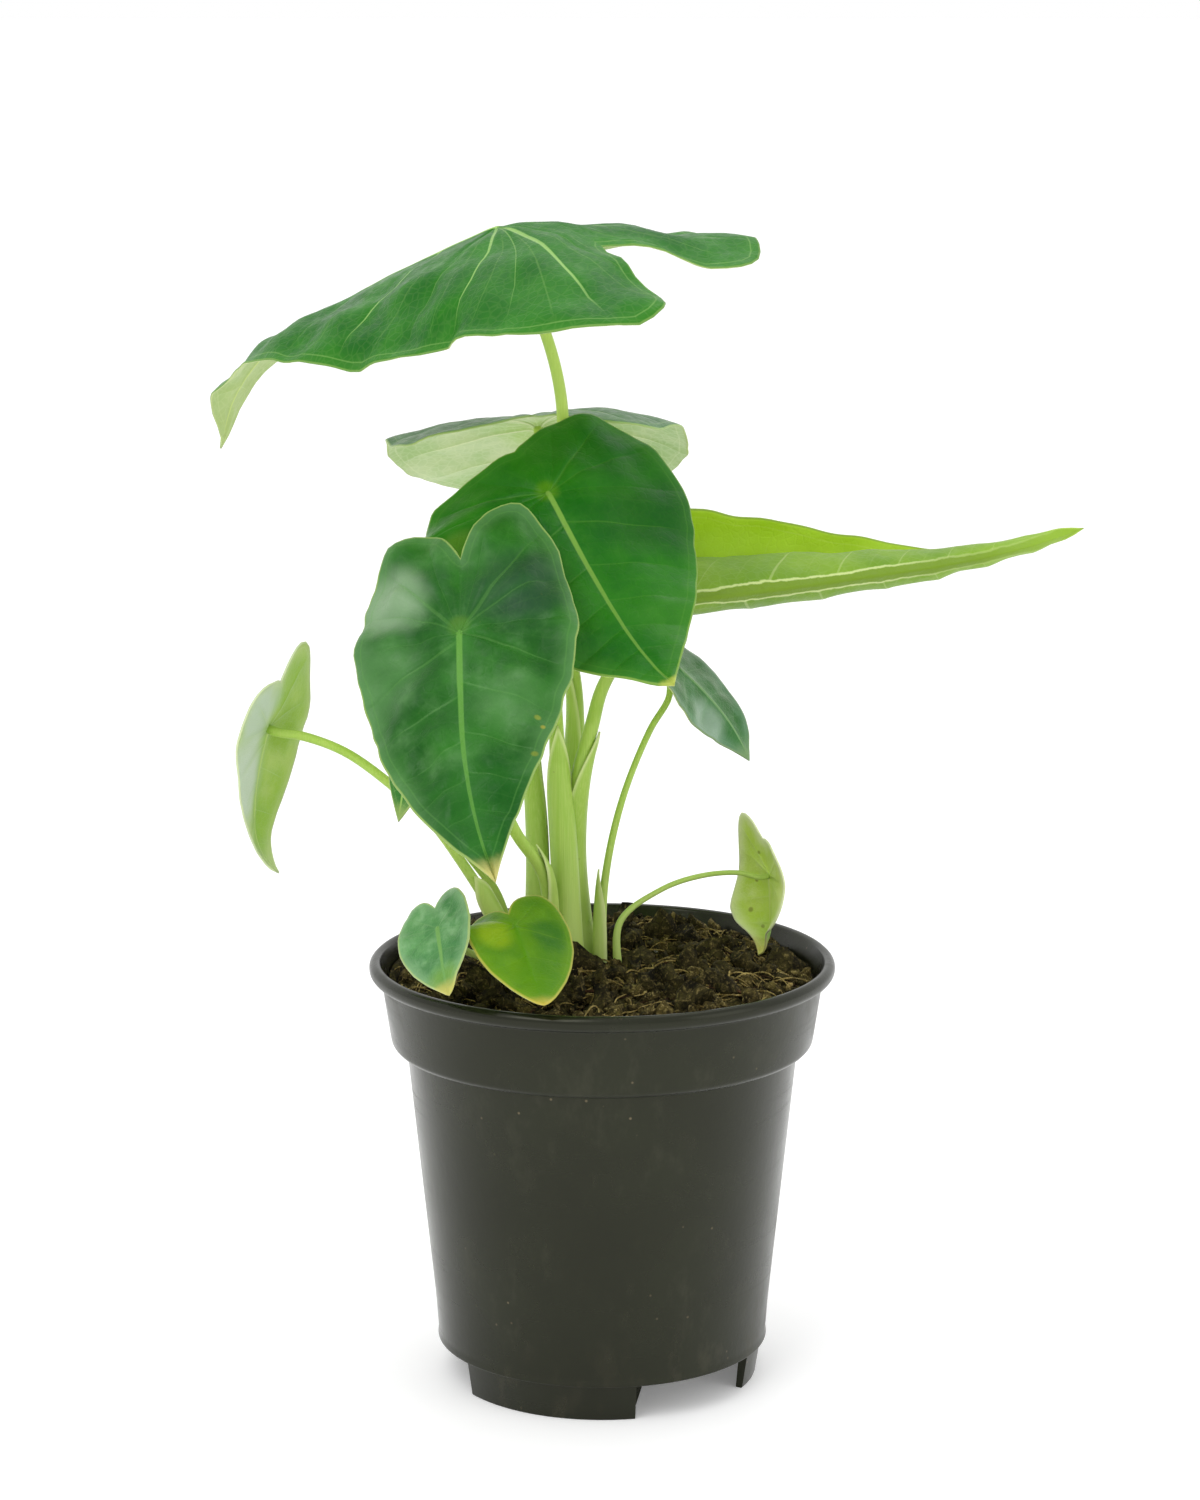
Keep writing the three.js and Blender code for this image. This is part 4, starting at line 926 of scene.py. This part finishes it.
def make_stem(name, leaf):
    """A ribbed stem that widens to its foot, with its sheath where it has one."""
    count = 90 if leaf["fine"] else 60
    line = stem_line(leaf, count)
    wide, thin = leaf["radii"]
    share = np.linspace(0, 1, count)
    radius = thin + (wide - thin) * (1 - share) ** 4
    if name in CLUMP:
        radius = radius * (1 + 0.5 * smooth((186 - line[:, 2]) / 42))
    elif name in SLENDER:
        radius = radius * (1 - 0.16 * smooth(share * 4))
    radius = radius * (1 + 0.02 * np.sin(share * 19 + wide * 7))
    points, faces = tube(line, radius, 24, 0.012)
    rim = np.full(len(points), NO_RIM)
    if name in SHEATHS:
        more, more_faces, more_rim = sheath(line, radius, *SHEATHS[name])
        faces += [[i + len(points) for i in face] for face in more_faces]
        points = np.vstack([points, more])
        rim = np.concatenate([rim, more_rim])
    piece = make_object(f"{name}_stem_skin", points, faces, [STEM_SKIN])
    add_attribute(piece, "flat", points, "FLOAT_VECTOR")
    add_attribute(piece, "rim", rim)
    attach(piece, "root")
    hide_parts(f"{name}_stem")


for leaf_name, leaf in LEAVES.items():
    make_stem(leaf_name, leaf)

# ---- Pot ----
POT_PROFILE = [
    # radius, height, rounding of the corner there
    (0, 9.8, 0), (39.4, 9.8, 0.3), (38.5, 0, 0.35), (40.3, 0, 0.35), (41.8, 9.6, 0.3), (43.1, 9.6, 0.5),
    (42.9, 11.6, 0.6), (43.5, 20, 2.0), (50.6, 88.4, 0.7), (53.3, 88.4, 0.5), (54.4, 89.5, 0.6),
    (54.8, 91.8, 1.0), (57, 106.4, 0.8), (59, 106.6, 0.6), (60, 107.8, 0.7), (60, 109.6, 0.8),
    (58.8, 110.8, 0.9), (57.4, 110.5, 0.6), (56.9, 109.4, 0.6), (55.4, 106.2, 0.6), (53.2, 92.1, 0.8),
    (51.6, 90.2, 0.6), (49.0, 90.0, 0.8), (41.9, 20, 1.5), (40.6, 11.8, 0.7), (0, 11.8, 0),
]
FOOT_MIDDLES = (-112, 8, 128)
FOOT_HALF_DEG = 34
FOOT_TOP = 9.2
DRAIN_HOLES, DRAIN_CIRCLE, DRAIN_RADIUS = 5, 27, 3.5
SHARP_ANGLE = math.radians(48)


def rounded(profile):
    """The profile with each corner drawn as a short arc."""
    result = []
    for i, (r, z, fillet) in enumerate(profile):
        p = np.array([r, z], float)
        if fillet == 0:
            result.append(p)
            continue
        cuts = []
        for near in (profile[i - 1], profile[i + 1]):
            way = np.array(near[:2], float) - p
            reach = np.linalg.norm(way)
            cuts.append(p + way / reach * min(fillet, 0.42 * reach))
        for t in (0, 0.25, 0.5, 0.75, 1):
            result.append((1 - t) ** 2 * cuts[0] + 2 * (1 - t) * t * p + t * t * cuts[1])
    return result


def pot_finish():
    finish = Finish("pot_plastic_skin", 0.36, 0.34)
    calc, times, ramp, coat = finish.calc, finish.times, finish.ramp, finish.coat
    finish.put("Specular Tint", (1.0, 1.0, 0.8, 1))
    place = finish.place()
    cloud = finish.noise(place, 22, 4, 0.6)
    grain = finish.noise(place, 900, 2)
    dust = finish.noise(finish.stretch(place, (1, 1, 0.5)), 160, 4, 0.7)
    scratch = finish.noise(finish.stretch(place, (20, 20, 600)), 1.0, 3, 0.6)
    finish.base = (0.0032, 0.0044, 0.0014, 1)
    coat(ramp(cloud, 0.35, 0.7), (0.0070, 0.0090, 0.0036, 1))
    film = ramp(times(dust, cloud), 0.27, 0.45, 0.0, 0.16)
    coat(film, tone(74, 72, 60))
    speck = ramp(finish.cells(place, 210, "F1"), 0.10, 0.03, 0.0, 0.6)
    coat(times(speck, ramp(cloud, 0.5, 0.62)), tone(122, 108, 84))
    splash = times(ramp(finish.split(place)[2], 0.030, 0.004), ramp(dust, 0.5, 0.66))
    coat(times(splash, 0.14), tone(66, 60, 46))
    rough = calc("ADD", ramp(cloud, 0.3, 0.75, 0.19, 0.34), times(film, 0.5))
    finish.put("Roughness", calc("ADD", rough, ramp(scratch, 0.55, 0.75, 0.0, 0.06)))
    finish.bump(times(cloud, 2.0, times(grain, 0.25)), 0.22, 0.0004)
    return finish.done()


def lathe_object(name, profile, segments, material):
    """A profile turned about the pot's axis."""
    points, faces, rings = [], [], []
    angle = circle(segments)
    for r, z in profile:
        if r < 1e-6:
            rings.append([len(points)])
            points.append((0, 0, z))
        else:
            rings.append(list(range(len(points), len(points) + segments)))
            points.extend(zip(r * np.cos(angle), r * np.sin(angle), [z] * segments))
    for low, high in zip(rings, rings[1:]):
        for j in range(segments):
            k = (j + 1) % segments
            if len(low) == 1:
                faces.append([low[0], high[k], high[j]])
            elif len(high) == 1:
                faces.append([low[j], low[k], high[0]])
            else:
                faces.append([low[j], low[k], high[k], high[j]])
    return make_object(name, points, faces, [material])


def cutter(ring, low, high):
    """A straight closed prism over a ring of points, between two heights."""
    count = len(ring)
    points = [(x, y, z) for z in (low, high) for x, y in ring]
    piece = make_object("cutter", points, capped(2, count), [])
    recalculate(piece)
    return piece


def make_pot():
    """The turned pot, with the gaps between its feet and its drain holes cut out."""
    pot = lathe_object("pot_skin", rounded(POT_PROFILE), 180, pot_finish())
    recalculate(pot)
    cutters = []
    gap_half = 60 - FOOT_HALF_DEG
    for middle in FOOT_MIDDLES:
        steps = np.radians(np.linspace(middle + 60 - gap_half, middle + 60 + gap_half, 13))
        ring = [(r * math.cos(t), r * math.sin(t)) for r, ts in ((33, steps), (50, steps[::-1])) for t in ts]
        cutters.append(cutter(ring, -5, FOOT_TOP))
    for k in range(DRAIN_HOLES):
        turn = 2 * math.pi * (k + 0.25) / DRAIN_HOLES
        x, y = DRAIN_CIRCLE * math.cos(turn), DRAIN_CIRCLE * math.sin(turn)
        ring = [(x + DRAIN_RADIUS * math.cos(t), y + DRAIN_RADIUS * math.sin(t)) for t in circle(28)]
        cutters.append(cutter(ring, 6, 16))
    for item in cutters:
        cut = pot.modifiers.new("cut", "BOOLEAN")
        cut.operation = "DIFFERENCE"
        cut.solver = "EXACT"
        cut.object = item
    bpy.context.view_layer.update()
    graph = bpy.context.evaluated_depsgraph_get()
    made = bpy.data.meshes.new_from_object(pot.evaluated_get(graph))
    pot.modifiers.clear()
    pot.data = made
    for item in cutters:
        bpy.data.objects.remove(item)
    mesh = bmesh.new()
    mesh.from_mesh(made)
    for face in mesh.faces:
        face.smooth = True
    for edge in mesh.edges:
        if edge.calc_face_angle(0) > SHARP_ANGLE:
            edge.smooth = False
    mesh.to_mesh(made)
    mesh.free()
    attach(pot, "root")
    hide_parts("pot")


make_pot()

# ---- Soil ----
SOIL_MIDDLE_Z = 108.6
# Height of the soil at the wall by bearing, and radius and height down the wall
SOIL_EDGE_LEVELS = [(0, 104.6), (90, 108), (165, 106.4), (228, 103.6), (300, 108.4), (360, 104.6)]
SOIL_SIDE = ((53.0, 92.4), (50.9, 90.6), (48.7, 90.3), (41.6, 20), (40.1, 12.1))
rng = np.random.default_rng(11)


def soil_edge_radius(z):
    """Radius of the soil against the pot's inner wall in the rim band, less a hair."""
    return 53.2 + (z - 92.1) * (57 - 54.8) / 14.1 - 0.3


def soil_level(x, y):
    """Height of the soil's surface without its crumb."""
    bearing = np.degrees(np.arctan2(y, x)) % 360
    edge = np.zeros_like(bearing)
    for (start, low), (end, high) in zip(SOIL_EDGE_LEVELS, SOIL_EDGE_LEVELS[1:]):
        inside = (bearing >= start) & (bearing <= end)
        edge = np.where(inside, low + (high - low) * smooth((bearing - start) / (end - start)), edge)
    share = np.hypot(x, y) / soil_edge_radius(edge)
    lump = 0.9 * (np.sin(0.21 * x + 1.3) * np.sin(0.19 * y + 0.4) + 0.6 * np.sin(0.42 * x - 0.31 * y)
                  + 0.4 * np.sin(0.55 * y + 0.35 * x + 2))
    return SOIL_MIDDLE_Z + (edge - SOIL_MIDDLE_Z) * share ** 2 + lump * (1 - np.clip(share, 0, 1) ** 6)


def crumb_noise(x, y):
    """Rough crumb of peat, about -1 to 1, from waves at random bearings."""
    total = np.zeros_like(x)
    maker = np.random.default_rng(5)
    for size, weight in ((0.5, 0.34), (0.85, 0.3), (1.4, 0.26), (2.2, 0.2), (3.3, 0.14)):
        for _ in range(5):
            bearing, phase = maker.uniform(0, 2 * math.pi, 2)
            wave = np.sin(size * (x * math.cos(bearing) + y * math.sin(bearing)) + phase
                          + 0.8 * np.sin(0.6 * size * (y - x) + phase))
            total += weight * wave * 0.45
    return total


def soil_finish(name, dark, mid, light, scale=1.0):
    finish = Finish(name, 0.92, 0.12)
    ramp, coat = finish.ramp, finish.coat
    place = finish.place()
    clump = finish.noise(place, 190 * scale, 5, 0.65)
    grain = finish.noise(place, 900 * scale, 4, 0.7)
    fibre = finish.noise(finish.stretch(place, (1, 2.6, 3)), 700 * scale, 4, 0.7)
    finish.base = tone(*dark)
    coat(ramp(clump, 0.36, 0.62), tone(*mid))
    coat(ramp(grain, 0.5, 0.72, 0.0, 0.7), tone(*light))
    coat(ramp(fibre, 0.56, 0.72, 0.0, 0.55), tone(*mid))
    # Dark lines along the cell edges: painted shade in the cracks between grains
    coat(ramp(finish.cells(place, 480 * scale), 0.0, 0.1, 0.55, 0.0), tone(18, 14, 10))
    finish.bump(finish.calc("ADD", clump, finish.times(grain, 0.8)), 0.9, 0.0012)
    return finish.done()


PEAT = soil_finish("soil_peat", (22, 20, 10), (66, 60, 30), (146, 130, 80))
CRUMB = soil_finish("soil_crumb", (38, 33, 16), (100, 88, 46), (196, 176, 116), 1.4)
TAN = soil_finish("soil_fibre", (136, 116, 62), (184, 162, 98), (224, 208, 152), 1.6)
TWIG = soil_finish("soil_twig", (40, 26, 16), (74, 50, 30), (112, 84, 56), 1.2)
GRIT = soil_finish("soil_perlite", (176, 172, 158), (214, 212, 200), (236, 236, 228), 1.0)


def make_soil_body():
    """Crumbed top in rings round the middle, then the side down along the pot's wall and the bottom."""
    rings, segments = 84, 240
    x0, y0 = np.cos(circle(segments)), np.sin(circle(segments))
    level = soil_level(55 * x0, 55 * y0)
    points = []
    for k in range(rings):
        share = ((k + 1) / rings) ** 0.9
        radius = share * (soil_edge_radius(level) - 0.1)
        x, y = radius * x0, radius * y0
        fade = smooth((1 - share) * 14 + 0.25)
        z = soil_level(x, y) + (crumb_noise(x, y) * 1.5 - 0.3) * fade
        points.append(np.stack([x, y, z], -1))
    for radius, z in SOIL_SIDE:
        points.append(np.stack([radius * x0, radius * y0, np.full(segments, z)], -1))
    rows = len(points)
    points = np.vstack(points + [np.array([[0, 0, SOIL_MIDDLE_Z], [0, 0, 12.1]])])
    faces = [[a, d, c, b] for a, b, c, d in quads(rows, segments)]
    top, bottom = rows * segments, rows * segments + 1
    for j in range(segments):
        k = (j + 1) % segments
        faces.append([top, j, k])
        faces.append([bottom, (rows - 1) * segments + k, (rows - 1) * segments + j])
    piece = make_object("soil_body", points, faces, [PEAT])
    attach(piece, "root")
    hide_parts("soil")


def ball_shape():
    """An icosahedron split once: 42 points on a sphere."""
    mesh = bmesh.new()
    bmesh.ops.create_icosphere(mesh, subdivisions=2, radius=1.0)
    points = np.array([v.co[:] for v in mesh.verts])
    faces = [[v.index for v in f.verts] for f in mesh.faces]
    mesh.free()
    return points, faces


BALL_POINTS, BALL_FACES = ball_shape()


def loose_piece(name, points, faces, material):
    """One mesh of many small bodies on the soil, which replaces no solid."""
    piece = make_object(name, np.vstack(points), faces, [material])
    recalculate(piece)
    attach(piece, "root")


def scatter(name, count, size, material, flat=0.75, sink=0.25, rough=0.35, reach=0.97, where=()):
    """Crumbs as one mesh: each a dented ball, turned at random and partly sunk in the soil."""
    points, faces = [], []
    for k in range(count):
        if k < len(where):
            x, y = where[k]
        else:
            radius = reach * 54.6 * math.sqrt(rng.uniform(0, 1))
            bearing = rng.uniform(0, 2 * math.pi)
            x, y = radius * math.cos(bearing), radius * math.sin(bearing)
        grain = size * rng.uniform(0.45, 1.0) ** 1.4
        shape = BALL_POINTS * (1 + rough * rng.normal(0, 0.5, (len(BALL_POINTS), 1)))
        shape = shape * [1, rng.uniform(0.5, 1), rng.uniform(0.45, 0.9) * flat / 0.75]
        turn = np.linalg.qr(rng.normal(size=(3, 3)))[0]
        level = soil_level(np.array([x]), np.array([y]))[0]
        limit = soil_edge_radius(level) - grain - 0.3
        if math.hypot(x, y) > limit:
            x, y = x * limit / math.hypot(x, y), y * limit / math.hypot(x, y)
        centre = np.array([x, y, level + grain * (0.5 - sink) + 0.2])
        faces += [[i + len(points) * len(BALL_POINTS) for i in face] for face in BALL_FACES]
        points.append(shape @ turn.T * grain + centre)
    loose_piece(name, points, faces, material)


def strands(name, count, length, radius, material, arch=0.5, sides=5, given=()):
    """Fibres or twigs as one mesh: bent thin tubes that lie on the soil."""
    points, faces, begun = [], [], 0
    for k in range(count):
        if k < len(given):
            x, y, bearing, size, thick = given[k]
        else:
            spread = 50 * math.sqrt(rng.uniform(0, 1))
            around, bearing = rng.uniform(0, 2 * math.pi, 2)
            x, y = spread * math.cos(around), spread * math.sin(around)
            size = length * rng.uniform(0.4, 1)
            thick = radius * rng.uniform(0.5, 1)
        t = np.linspace(-0.5, 0.5, 9)
        bow = rng.normal(0, 0.25)
        px = x + size * (t * math.cos(bearing) - bow * (0.25 - t * t) * math.sin(bearing))
        py = y + size * (t * math.sin(bearing) + bow * (0.25 - t * t) * math.cos(bearing))
        inside = np.minimum(1, 53.5 / np.maximum(np.hypot(px, py), 1))
        px, py = px * inside, py * inside
        lift = rng.uniform(0, arch) * size * 0.35
        pz = soil_level(px, py) + 0.55 + thick + lift * (0.25 - t * t) * 4 * rng.uniform(0.2, 1)
        line = np.stack([px, py, pz + rng.normal(0, 0.06, len(t))], -1)
        strand, strand_faces = tube(line, thick * (1 - 0.72 * np.abs(t)), sides)
        faces += [[i + begun for i in face] for face in strand_faces]
        points.append(strand)
        begun += len(strand)
    loose_piece(name, points, faces, material)


make_soil_body()
scatter("soil_lumps", 110, 5.4, PEAT, rough=0.65, sink=0.24, reach=0.9)
scatter("soil_clods", 260, 3.0, CRUMB, rough=0.55)
scatter("soil_crumbs", 900, 1.25, CRUMB, rough=0.5)
scatter("soil_dark_crumbs", 700, 1.1, PEAT, rough=0.5)
scatter("soil_tan_bits", 200, 1.7, TAN, flat=0.4, rough=0.4)
scatter("soil_perlite_bits", 34, 1.05, GRIT, rough=0.3,
        where=[(14, 12), (9, -22), (30, -4), (20, -16), (37, 10), (16, -32), (26, -24)])
strands("soil_fibres", 460, 12, 0.27, TAN, arch=0.9)
strands("soil_dark_fibres", 160, 9, 0.2, TWIG, arch=0.3)
strands("soil_twigs", 16, 16, 0.5, TWIG, arch=0.25, sides=8, given=[(2, -13, -0.5, 8, 0.45)])

# ---- Rootstock: the frame's own solid, out of sight in the soil ----
corm = Finish("rootstock_skin", 0.8, 0.3)
bands = corm.noise(corm.stretch(corm.place(), (60, 60, 420)), 1.0, 4)
corm.base = tone(150, 116, 70)
corm.coat(corm.ramp(bands, 0.4, 0.65), tone(196, 166, 112))
corm.bump(bands, 0.5, 0.001)
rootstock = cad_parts["rootstock"]
rootstock.data.materials.clear()
rootstock.data.materials.append(corm.done())

# ---- Floor, light ----
ground = Finish("floor", 0.6, 0.2)
ground.base = (0.93, 0.93, 0.93, 1)
ground.coat(ground.noise(ground.place(), 3.0, 3), (0.95, 0.95, 0.95, 1))
ground.put("Emission Color", (1, 1, 1, 1))
ground.put("Emission Strength", 0.16)
floor_mesh = bpy.data.meshes.new("floor")
floor_mesh.from_pydata([(-90, -90, 0), (90, -90, 0), (90, 90, 0), (-90, 90, 0)], [], [(0, 1, 2, 3)])
floor_mesh.materials.append(ground.done())
floor = bpy.data.objects.new("floor", floor_mesh)
scene.collection.objects.link(floor)

world = bpy.data.worlds.new("studio")
scene.world = world
world.use_nodes = True
background = world.node_tree.nodes["Background"]
background.inputs["Color"].default_value = (1, 1, 1, 1)
background.inputs["Strength"].default_value = 1.0


def area_light(name, place, target, size, power):
    """A rectangular light at a place, in metres from the pot's foot, that faces a target."""
    data = bpy.data.lights.new(name, "AREA")
    data.shape = "RECTANGLE"
    data.size, data.size_y = size
    data.energy = power
    light = bpy.data.objects.new(name, data)
    scene.collection.objects.link(light)
    start = np.array(place) + AXIS
    way = np.array(target) + AXIS - start
    light.location = start
    yaw = math.atan2(way[1], way[0])
    light.rotation_euler = (math.acos(-way[2] / np.linalg.norm(way)), 0, yaw - math.pi / 2)


area_light("key", (-0.5, -0.75, 1.15), (0, 0, 0.17), (0.7, 0.7), 5.0)
area_light("fill", (0.95, -0.5, 0.55), (0, 0, 0.12), (0.6, 0.9), 1.6)
area_light("top", (0.1, 0.35, 1.2), (0, 0, 0.2), (0.9, 0.9), 2.2)

scene.view_settings.view_transform = "Standard"
scene.view_settings.look = "None"
